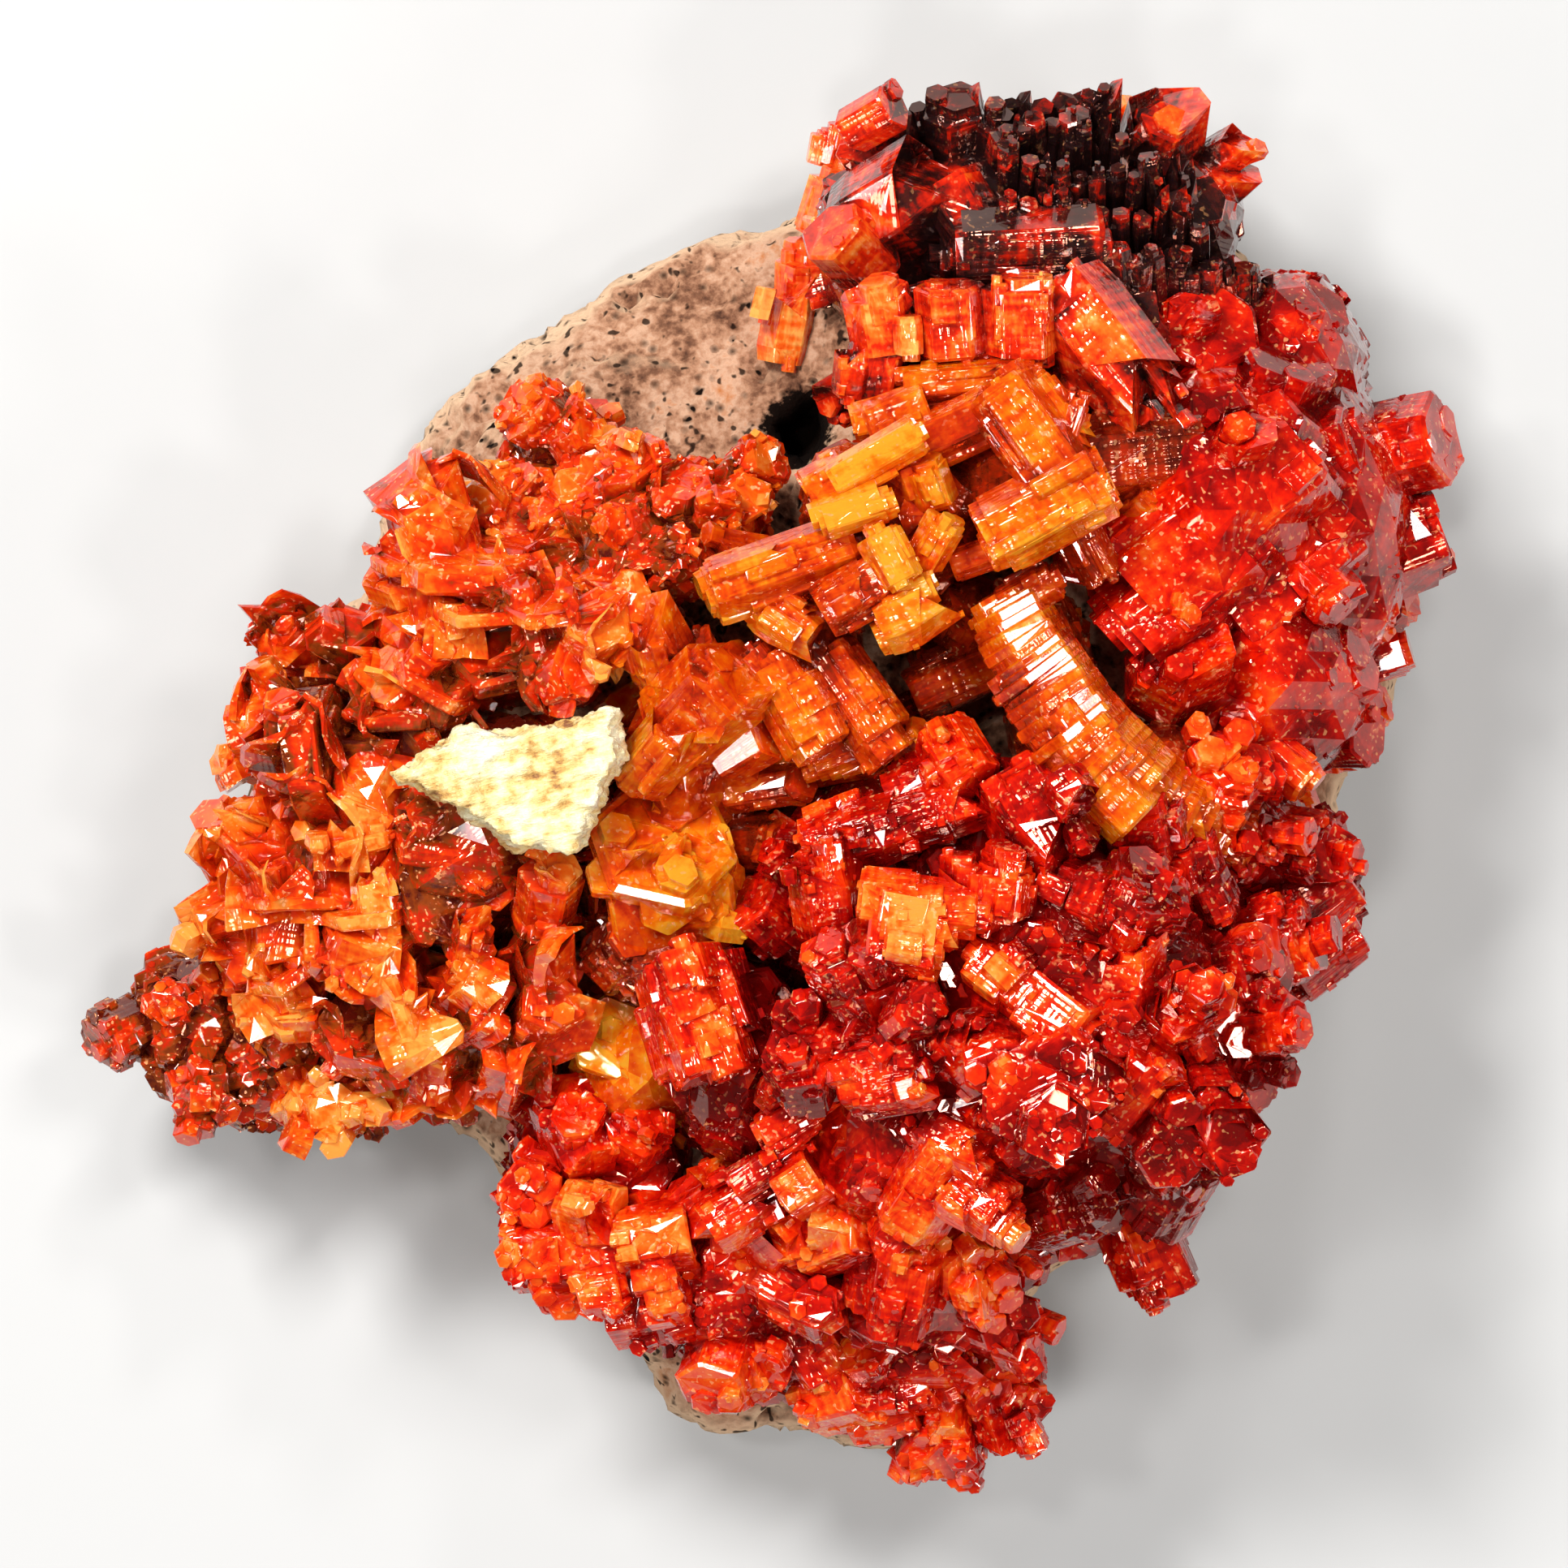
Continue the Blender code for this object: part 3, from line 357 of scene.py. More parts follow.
fibre_tree, given = tree_with("barite_fibres", {"Relief": "Float"})
place = Wire.node(fibre_tree, "GeometryNodeInputPosition").vector("SCALE", 1 / MM)
ridges = grain(fibre_tree, place, 1.0, 5, 0.66, (0.5, 1.9, 1.0)) + grain(fibre_tree, place, 1.5, 3) * 0.6
facing = Wire.node(fibre_tree, "GeometryNodeInputNormal")
shift = facing.vector("SCALE", (ridges - 0.8) * given["Relief"] * MM)
end_tree(fibre_tree, Wire.node(fibre_tree, "GeometryNodeSetPosition", None,
                               {"Geometry": given["Geometry"], "Offset": shift}), barite_finish)
barite = stand("barite", modifier_from(remeshed("barite_flake", BARITE_GRAIN), fibre_tree, {"Relief": 1.1}))
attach(barite, "root")
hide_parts("barite_flake")


# ---- Main druse, lower right: deep red blocks crowded over one broad dome, most of them leaning to the
# lower right. Each larger crystal has smaller ones grown on it with their faces parallel to its own, which
# makes steps.

SHIFT = Vector((0.06, -0.09, 0))  # from the places below to the frame's, in millimetres
TIP_DEPTH = 1.2  # how much deeper than half its length the middle of a prism at the edge lies
COAT_DEPTH = 0.96  # where a coating crystal's middle stands, as a share of its lump's radii


def lump(x, y, z, wide, deep, tall):
    """A rounded mass that crystals stand on: middle and radii."""
    return {"kind": "lump", "at": (x, y, z), "radii": (wide, deep, tall), "tint": None}


def block(x, y, z, azimuth, elevation, length, width, tint=None, spin=0.0):
    """A six-sided prism: its middle, where its axis points, its length, its width across the flats, its
    place between black (0), deep red, red, orange and straw (1), and its turn about its axis."""
    return {"kind": "block", "at": (x, y, z), "aim": (azimuth, elevation, spin), "length": length,
            "width": width, "tint": tint}


def blocks(*rows):
    return [block(*numbers) for numbers in rows]


def row(start, end, count, azimuth, elevation, length, width, seed):
    """Prisms side by side along a straight line, each a little taller or shorter than the next."""
    chance = random.Random(seed)
    made = []
    for number in range(count):
        share = number / (count - 1)
        x, y, z = (a + (b - a) * share for a, b in zip(start, end))
        made.append(block(
            x, y + chance.uniform(-0.3, 0.3), z + chance.uniform(-0.3, 0.3),
            azimuth + chance.uniform(-8, 8), elevation + chance.uniform(-8, 8),
            length * chance.uniform(0.8, 1.25), width * chance.uniform(0.85, 1.15),
            spin=chance.uniform(0, 60)))
    return made


def edge(tips, length, width, seed, tint=None):
    """Prisms that lean outwards, whose far ends make the knobbly edge of the specimen."""
    chance = random.Random(seed)
    made = []
    for x, y, z in tips:
        azimuth = math.degrees(math.atan2(y, x)) + chance.uniform(-18, 18)
        elevation = chance.uniform(5, 30)
        size = chance.uniform(0.85, 1.2)
        reach = 0.5 * length * size + TIP_DEPTH
        turn, rise = math.radians(azimuth), math.radians(elevation)
        made.append(block(
            x - reach * math.cos(rise) * math.cos(turn), y - reach * math.cos(rise) * math.sin(turn),
            z - reach * math.sin(rise), azimuth, elevation, length * size, width * chance.uniform(0.85, 1.2),
            spin=chance.uniform(0, 60), tint=tint))
    return made


def coat(mass, count, width, seed, lean=25.0, lowest=0.05):
    """Crystals spread evenly over the upper side of a lump, standing out from it with a little lean."""
    chance = random.Random(seed)
    golden_turn = math.pi * (3 - math.sqrt(5))
    made = []
    for number in range(count):
        up = 1 - (1 - lowest) * (number + 0.5) / count
        turn = number * golden_turn + seed
        flat = math.sqrt(1 - up * up)
        facing = Vector((math.cos(turn) * flat, math.sin(turn) * flat, up))
        radii = Vector(mass["radii"])
        spot = Vector(mass["at"]) + Vector(f * r for f, r in zip(facing, radii)) * COAT_DEPTH
        outwards = Vector(f / r for f, r in zip(facing, radii)).normalized()
        azimuth = math.degrees(math.atan2(outwards.y, outwards.x)) + chance.uniform(-lean, lean)
        elevation = math.degrees(math.asin(outwards.z)) + chance.uniform(-lean, lean)
        size = width * chance.uniform(0.75, 1.3)
        made.append(block(spot.x, spot.y, spot.z, azimuth, elevation, size * chance.uniform(0.9, 1.4),
                          size, spin=chance.uniform(0, 60)))
    return made


def aimed(azimuth, elevation, spin):
    """A turn that points local Z along the aim, with a flat side of the prism uppermost at spin 0."""
    turn = math.radians(azimuth)
    axis = pointing(azimuth, elevation)
    side = Vector((-math.sin(turn), math.cos(turn), 0))
    frame_of_aim = Matrix((side, axis.cross(side), axis)).transposed()
    return frame_of_aim @ Matrix.Rotation(math.radians(spin), 3, "Z")


def stepped(made, chance, steps):
    """The crystal with smaller ones grown on it, all with their faces parallel to its own: ledges along its
    sides, and terraces at its ends."""
    grown = [made]
    length, width = made["length"], made["width"]
    turn = aimed(*made["aim"])
    for number in range(steps):
        wide = width * chance.uniform(0.18, 0.62)
        if number % 2:
            long, face = length * chance.uniform(0.25, 0.8), math.radians(30 + 60 * chance.randrange(6))
            out = (width - wide) / 2 + chance.uniform(0.03, 0.16)
            along_side = chance.uniform(-0.5, 0.5) * (width - wide)
            end = chance.uniform(-0.5, 0.5) * (length - long)
            offset = Vector((math.cos(face) * out - math.sin(face) * along_side,
                             math.sin(face) * out + math.cos(face) * along_side, end))
        else:
            long, reach, bearing = wide * 1.2, (width - wide) * 0.48, chance.uniform(0, math.tau)
            end = chance.choice((-1, 1)) * (length / 2 - long / 2 + chance.uniform(0.05, 0.3))
            offset = Vector((math.cos(bearing) * reach, math.sin(bearing) * reach, end))
        grown.append({**made, "at": tuple(Vector(made["at"]) + turn @ offset), "length": long, "width": wide,
                      "tint": made["tint"] + chance.uniform(-0.06, 0.06)})
    return grown


def ringed(name, rings, seed, sides=6, ragged=0.07, worn=0.0):
    """A closed crystal shape, about one unit across its flats and one long, from rings of radius, height and
    offset. Its sides are a little uneven, and worn cuts a narrow flat along each upright edge."""
    chance = random.Random(seed)
    corners = []
    for k in range(sides):
        reach = (1 + chance.uniform(-ragged, ragged)) / math.cos(math.pi / 6)
        turn = math.tau * (k + chance.uniform(-ragged, ragged) * 0.8) / sides
        corners.append(Vector((reach * math.cos(turn), reach * math.sin(turn))))
    outline = corners
    if worn:
        outline = [corner.lerp(corners[(k + step) % sides], worn)
                   for k, corner in enumerate(corners) for step in (-1, 1)]
    shape = bmesh.new()
    loops = []
    for radius, height, *offset in rings:
        x, y, slant = (*offset, 0, 0, 0)[:3]
        loops.append([shape.verts.new((x + radius * point.x, y + radius * point.y, height + slant * point.x))
                      for point in outline])
    for lower, upper in zip(loops, loops[1:]):
        for k in range(len(outline)):
            after = (k + 1) % len(outline)
            shape.faces.new((lower[k], lower[after], upper[after], upper[k]))
    shape.faces.new(reversed(loops[0]))
    shape.faces.new(loops[-1])
    return meshed(name, shape)


def torn(name, seed, bend):
    """A thin, bent blade with a ragged far edge: about one unit wide, one tall and a tenth thick."""
    chance = random.Random(seed)
    across, up = 5, 3
    shape = bmesh.new()
    sides = []
    for face in (-1, 1):
        grid = []
        for j in range(up + 1):
            line = []
            for i in range(across + 1):
                u, v = i / across - 0.5, j / up
                tall = v * (1 + (chance.uniform(-0.30, 0.18) if face < 0 and j == up else 0))
                if face > 0 and j == up:
                    tall = sides[0][j][i].co.z + 0.5
                sway = bend * (u * u * 4 - 0.5) * 0.3 + bend * 0.25 * math.sin(3.0 * u + 2.2 * v + seed)
                thick = 0.075 * (1.15 - 0.75 * v) * (1 if abs(u) < 0.45 else 0.6)
                line.append(shape.verts.new((u * (1 - 0.25 * v * v), sway + face * thick, tall - 0.5)))
            grid.append(line)
        sides.append(grid)
    for j in range(up):
        for i in range(across):
            back, front = sides
            shape.faces.new((back[j][i], back[j][i + 1], back[j + 1][i + 1], back[j + 1][i]))
            shape.faces.new((front[j][i], front[j + 1][i], front[j + 1][i + 1], front[j][i + 1]))
    edge_of = [[(0, i) for i in range(across + 1)], [(up, i) for i in range(across, -1, -1)],
               [(j, across) for j in range(up + 1)], [(j, 0) for j in range(up, -1, -1)]]
    for places in edge_of:
        for (j, i), (m, n) in zip(places, places[1:]):
            shape.faces.new((sides[0][j][i], sides[1][j][i], sides[1][m][n], sides[0][m][n]))
    bmesh.ops.recalc_face_normals(shape, faces=shape.faces)
    return meshed(name, shape)


LUMP, WORN, LEDGED, TERRACED, BROKEN, PRISM, TAPERED, PLATE, CHIP, BLADE, SCROLL, SLAB = range(12)
growth_forms = bpy.data.collections.new("growth_forms")
for form_mesh in (
    pebble("form_00_lump"),
    ringed("form_01_worn", [(0.46, -0.5), (0.5, -0.45), (0.5, 0.46), (0.45, 0.5)], 1, worn=0.07),
    ringed("form_02_ledged", [(0.42, -0.5, 0.05, 0.02), (0.42, -0.42, 0.05, 0.02), (0.5, -0.42), (0.5, 0.36),
                              (0.37, 0.38, -0.1, 0.03), (0.36, 0.5, -0.1, 0.03)], 2, worn=0.06),
    ringed("form_03_terraced", [
        (0.46, -0.5), (0.5, -0.46), (0.5, 0.2), (0.41, 0.2, 0.06, -0.04), (0.41, 0.37, 0.06, -0.04),
        (0.28, 0.37, 0.12, -0.05), (0.27, 0.5, 0.12, -0.05)], 3),
    ringed("form_04_broken", [
        (0.46, -0.5), (0.5, -0.3), (0.5, 0.22, 0, 0, 0.2), (0.42, 0.4, 0.05, 0, -0.34)], 4, worn=0.05),
    ringed("form_05_prism", [(0.48, -0.5), (0.5, 0.44), (0.44, 0.5)], 5),
    ringed("form_06_tapered", [(0.42, -0.5), (0.5, 0.1), (0.32, 0.5)], 6),
    ringed("form_07_plate", [(0.45, -0.5), (0.5, -0.1), (0.43, 0.5)], 7, 7, 0.2),
    ringed("form_08_chip", [(0.4, -0.5), (0.5, 0.1), (0.3, 0.5, 0.05, 0, 0.3)], 8, 5, 0.3),
    torn("form_09_blade", 9, 0.5),
    torn("form_10_scroll", 12, -1.1),
    ringed("form_11_slab", [(0.48, -0.5), (0.5, -0.35), (0.5, 0.3), (0.46, 0.5)], 11, worn=0.05, ragged=0.03),
):
    growth_forms.objects.link(bpy.data.objects.new(form_mesh.name, form_mesh))


MASS_SHADE_OF_TINT = 0.22  # painted shade: how much darker the bare mass between the crystals is than the crystals on it
LUMP_INSET = Vector((0.4, 0.4, 0.35))  # how far a lump's body lies inside its radii, in millimetres
SLAB_LENGTH = 1.3  # a prism shorter than this, in millimetres, is a slab


def seeds_of(solids, tint, steps, seed):
    """Points for the crystals and lumps to grow at, each with its form, size, turn and tint."""
    chance = random.Random(seed)
    grown = []
    for made in solids:
        own = dict(made, tint=chance.uniform(*tint) if made["tint"] is None else made["tint"])
        grown += [own] if made["kind"] == "lump" else stepped(own, chance, steps)
    mesh = bpy.data.meshes.new("seeds")
    mesh.from_pydata([(Vector(made["at"]) + SHIFT) * MM for made in grown], [], [])
    kinds = {"form": "INT", "size": "FLOAT_VECTOR", "turn": "FLOAT_VECTOR", "axis": "FLOAT_VECTOR",
             "tint": "FLOAT", "order": "FLOAT"}
    for name, kind in kinds.items():
        mesh.attributes.new(name, kind, "POINT")
    forms, sizes, turns, axes, tints, orders = (mesh.attributes[name].data for name in kinds)
    for index, made in enumerate(grown):
        tints[index].value = made["tint"]
        if made["kind"] == "lump":
            # The bare mass is darkened as painted shade in the gaps between crystals.
            tints[index].value -= MASS_SHADE_OF_TINT
            forms[index].value, axes[index].vector = LUMP, (0, 0, 1)
            sizes[index].vector = (Vector(made["radii"]) - LUMP_INSET) * MM
            continue
        turn = aimed(*made["aim"])
        short = made["length"] < SLAB_LENGTH
        forms[index].value = SLAB if short else chance.choice((WORN, LEDGED, WORN, BROKEN))
        sizes[index].vector = Vector((made["width"], made["width"], made["length"])) * MM
        turns[index].vector = turn.to_euler()
        axes[index].vector = turn.col[2]
        orders[index].value = 1.0
    return mesh


def named(tree, name, kind):
    return Wire.node(tree, "GeometryNodeInputNamedAttribute", {"data_type": kind}, {"Name": name})


def store(tree, geometry, name, kind, domain, value):
    return Wire.node(tree, "GeometryNodeStoreNamedAttribute", {"data_type": kind, "domain": domain},
                     {"Geometry": geometry, "Name": name, "Value": value})


def chance_of(tree, low, high, seed, number):
    """An even random number for each element."""
    return Wire.node(tree, "FunctionNodeRandomValue", {"data_type": "FLOAT"},
                     {2: low, 3: high, "Seed": seed + number}, out=1)


def fused(tree, pieces):
    """One closed body from pieces that overlap."""
    return Wire.node(tree, "GeometryNodeMeshBoolean", {"operation": "UNION", "solver": "MANIFOLD"},
                     {"Mesh 2": pieces}, out="Mesh")


def marked(tree, body, pieces):
    """Gives each face of a fused body the tint, axis, turn and order of the crystal that it came from."""
    real = Wire.node(tree, "GeometryNodeRealizeInstances", None,
                     {"Geometry": Wire.node(tree, "GeometryNodeJoinGeometry", None, {"Geometry": pieces})})
    kinds = {"tint": "FLOAT", "axis": "FLOAT_VECTOR", "turn": "FLOAT_VECTOR", "order": "FLOAT"}
    for name, kind in kinds.items():
        nearest = Wire.node(tree, "GeometryNodeSampleNearestSurface", {"data_type": kind},
                            {"Mesh": real, "Value": named(tree, name, kind)})
        body = store(tree, body, name, kind, "FACE", nearest)
    return body


def set_on(tree, geometry, forms):
    """Instances of the growth forms on points that hold form, turn and size."""
    return Wire.node(tree, "GeometryNodeInstanceOnPoints", None, {
        "Points": geometry, "Instance": forms, "Pick Instance": True,
        "Instance Index": named(tree, "form", "INT"), "Rotation": named(tree, "turn", "FLOAT_VECTOR"),
        "Scale": named(tree, "size", "FLOAT_VECTOR")}, out="Instances")


STEEP_LEVEL = 9  # below this height in millimetres, crystals crowd on steep sides
STEEP_SLOPE = 0.45  # upward part of a side's direction, under which it counts as steep
STEEP_SINK = 0.14  # how much deeper a crystal on an upright side stands, as a share of its length
ROCK_REACH = 50  # how far above a place rock is looked for, in millimetres
LAYER_SPREAD = (1.0, 1.0, 1.25)  # extra room between the crystals of each layer


def druse(tree, body, forms, rock_body, given, layer):
    """Smaller crystals scattered over a body, where no rock lies above, and closer on its low, steep sides.
    One that starts on a crystal grows parallel to it, and one that starts on bare mass leans between the
    surface's own direction and the growth direction, together with its neighbours. Each is a little lighter
    or darker than what it stands on."""
    seed = given["Seed"] + 100 * layer
    share = (1.0, given["Fineness"], given["Fineness"] * given["Fineness"])[layer - 1]
    spacing = given["Spacing"] * share * MM * LAYER_SPREAD[layer - 1]
    place = Wire.node(tree, "GeometryNodeInputPosition")
    below = Wire.node(tree, "GeometryNodeRaycast", None, {
        "Target Geometry": rock_body, "Source Position": place, "Ray Direction": (0, 0, 1),
        "Ray Length": ROCK_REACH * MM})
    open_sky = Wire.node(tree, "FunctionNodeBooleanMath", {"operation": "NOT"}, {0: below})
    patch = Wire.node(tree, "ShaderNodeTexNoise", None, {
        "Vector": place, "Scale": (1 + 0.7 * layer) / (given["Colony"] * MM), "Detail": 2.0}) * 1.6 - 0.3
    cover = given["Cover"] if layer == 1 else given["Cover"] * given["Dusting"]
    slope = Wire.node(tree, "GeometryNodeInputNormal").part("Z")
    low = STEEP_LEVEL - place.part("Z") / MM
    bare = low.maths("MAXIMUM", 1 - named(tree, "order", "FLOAT"), low.ramp(0.0, 1.5) * 0.7)
    if layer < 3:
        patch = patch - (STEEP_SLOPE - slope).ramp(0.0, 0.2) * bare
    patch = patch.test("LESS_THAN", cover)
    open_sky = Wire.node(tree, "FunctionNodeBooleanMath", {"operation": "AND"}, {0: open_sky, 1: patch})
    points = Wire.node(tree, "GeometryNodeDistributePointsOnFaces", {"distribute_method": "POISSON"}, {
        "Mesh": body, "Selection": open_sky, "Distance Min": spacing,
        "Density Max": 1.6 / (spacing * spacing), "Seed": seed})
    facing = points["Normal"]
    cell = Wire.node(tree, "ShaderNodeTexVoronoi", None,
                     {"Vector": place, "Scale": 1 / (given["Colony"] * MM)})
    drift = cell["Color"].vector("SUBTRACT", (0.5, 0.5, 0.5))
    drift = drift.vector("SCALE", given["Lean"] * 2)
    stray = Wire.node(tree, "FunctionNodeRandomValue", {"data_type": "FLOAT_VECTOR"},
                      {0: (-0.09, -0.09, -0.09), 1: (0.09, 0.09, 0.09), "Seed": seed + 1})
    aim = Wire.node(tree, "ShaderNodeMix", {"data_type": "VECTOR"},
                    {0: given["Pull"], 4: facing, 5: given["Growth"]}, out=1)
    for change in (drift, stray):
        aim = aim.vector("ADD", change)
    spin = cell["Color"].part("Y") * math.tau
    spin = Wire.node(tree, "ShaderNodeCombineXYZ", None, {"Z": spin})
    free = Wire.node(tree, "FunctionNodeAlignRotationToVector", {"axis": "Z"},
                     {"Rotation": spin, "Vector": aim})
    host = Wire.node(tree, "FunctionNodeEulerToRotation", None, {0: named(tree, "turn", "FLOAT_VECTOR")})
    host = Wire.node(tree, "FunctionNodeRotateRotation", {"rotation_space": "LOCAL"}, {
        "Rotation": host, "Rotate By": Wire.node(tree, "FunctionNodeEulerToRotation", None, {0: stray})})
    parallel = named(tree, "order", "FLOAT") - chance_of(tree, 0.0, 1.0, seed, 8) * given["Disorder"]
    parallel = parallel.test("GREATER_THAN", 0.5)
    turn = Wire.node(tree, "GeometryNodeSwitch", {"input_type": "ROTATION"},
                     {"Switch": parallel, "False": free, "True": host})
    wide = chance_of(tree, 0.5, 1.25, seed, 3) * given["Width"] * share * MM
    long = wide * chance_of(tree, 0.5, 1.0, seed, 4) * given["Slenderness"]
    size = Wire.node(tree, "ShaderNodeCombineXYZ", None, {"X": wide, "Y": wide, "Z": long})
    first, last = (given["First form"], given["Last form"]) if layer == 1 else (PRISM, given["Small form"])
    form = Wire.node(tree, "FunctionNodeRandomValue", {"data_type": "INT"},
                     {4: first, 5: last, "Seed": seed + 5}, out=2)
    tint = named(tree, "tint", "FLOAT") + chance_of(tree, -1.0, 1.0, seed, 6) * given["Tint spread"]
    # A crystal that starts on bare mass takes back the painted shade that the mass was given.
    tint = tint + (1 - named(tree, "order", "FLOAT")) * MASS_SHADE_OF_TINT
    axis = Wire.node(tree, "FunctionNodeRotateVector", None, {"Vector": (0, 0, 1), "Rotation": turn})
    turned = Wire.node(tree, "FunctionNodeRotationToEuler", None, {"Rotation": turn})
    steep = 1 - facing.part("Z")
    sunk = facing.vector("SCALE", long * (given["Sink"] + steep * STEEP_SINK) * -1)
    points = Wire.node(tree, "GeometryNodeSetPosition", None, {"Geometry": points, "Offset": sunk})
    for name, kind, value in (("tint", "FLOAT", tint), ("axis", "FLOAT_VECTOR", axis), ("form", "INT", form),
                              ("size", "FLOAT_VECTOR", size), ("turn", "FLOAT_VECTOR", turned),
                              ("order", "FLOAT", 1.0)):
        points = store(tree, points, name, kind, "POINT", value)
    return set_on(tree, points, forms)


HIGHEST = 18.3  # above this height in millimetres, crystals are squatter
SQUATNESS = 0.4  # the share of their height above it that they lose
SHADE_REACH = 3.2  # how far a spot looks for crystals around it, for its painted shade, in millimetres
SHADE_LIFT = 0.04  # how far above its surface it looks from, in millimetres
SHADE_RAYS = [
    (0, 0, 1), (0.8, 0, 0.7), (-0.4, 0.7, 0.7), (-0.4, -0.7, 0.7), (0.5, 0.8, 0.3), (-0.95, 0, 0.3),
    (0.5, -0.8, 0.3),
]
growth_inputs = {name: "Float" for name in (
    "Spacing", "Width", "Slenderness", "Lean", "Pull", "Colony", "Cover", "Dusting", "Sink", "Disorder",
    "Fineness", "Tint spread", "Warp")}
growth_inputs |= {"Growth": "Vector", "First form": "Int", "Last form": "Int", "Small form": "Int",
                  "Seed": "Int", "Finish": "Material"}
growth_tree, given = tree_with("crystal_growth", growth_inputs)
forms = Wire.node(growth_tree, "GeometryNodeCollectionInfo", None, {
    "Collection": growth_forms, "Separate Children": True, "Reset Children": True})
rock_body = Wire.node(growth_tree, "GeometryNodeObjectInfo", None, {"Object": rock}, out="Geometry")
large = set_on(growth_tree, given["Geometry"], forms)
body = marked(growth_tree, fused(growth_tree, [large]), [large])
for layer in (1, 2, 3):
    smaller = druse(growth_tree, body, forms, rock_body, given, layer)
    body = marked(growth_tree, fused(growth_tree, [body, smaller]), [body, smaller])
place = Wire.node(growth_tree, "GeometryNodeInputPosition")
lifted = Wire.node(growth_tree, "GeometryNodeInputNormal").vector("SCALE", SHADE_LIFT * MM)
lifted = place.vector("ADD", lifted)
# The share of these rays that strike crystal is painted shade: the finishes darken crowded spots by it and
# lighten open ones as painted highlight.
hidden = 0.0
for ray in SHADE_RAYS:
    struck = Wire.node(growth_tree, "GeometryNodeRaycast", None, {
        "Target Geometry": body, "Source Position": lifted, "Ray Direction": ray,
        "Ray Length": SHADE_REACH * MM})
    hidden = struck["Is Hit"] * (1 / len(SHADE_RAYS)) + hidden
body = store(growth_tree, body, "hidden", "FLOAT", "POINT", hidden)
sway = [Wire.node(growth_tree, "ShaderNodeTexNoise", None,
                  {"Vector": place, "Scale": bumps / MM, "Detail": 1.0}, out="Color")
        .vector("SUBTRACT", (0.5, 0.5, 0.5)) for bumps in (0.28, 1.3)]
sway = sway[0].vector("ADD", sway[1].vector("SCALE", 0.25))
sway = sway.vector("SCALE", given["Warp"] * MM)
high = place.part("Z") - HIGHEST * MM
lowered = Wire.node(growth_tree, "ShaderNodeCombineXYZ", None,
                    {"Z": high.maths("MAXIMUM", high, 0.0) * -SQUATNESS})
sway = sway.vector("ADD", lowered)
body = Wire.node(growth_tree, "GeometryNodeSetPosition", None, {"Geometry": body, "Offset": sway})
end_tree(growth_tree, body, given["Finish"])

USUAL_HABIT = {  # what most masses of crystals share
    "Slenderness": 1.3, "Lean": 0.6, "Pull": 0.5, "Colony": 2.4, "Dusting": 0.8, "Fineness": 0.5,
    "Tint spread": 0.16, "First form": WORN, "Last form": BROKEN, "Small form": PRISM, "Warp": 0.35,
}


def grow(name, solids, tint, steps, habit, colour):
    """Grows one mass of crystals over its lumps and larger crystals, as one closed piece of the crust. The
    habit holds what isn't usual."""
    points = stand(name + "_seeds", seeds_of(solids, tint, steps, habit["Seed"]))
    crust = stand(name, modifier_from(points, growth_tree, {**USUAL_HABIT, **habit, "Finish": colour}))
    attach(crust, "root")
    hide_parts("vanadinite_crust")


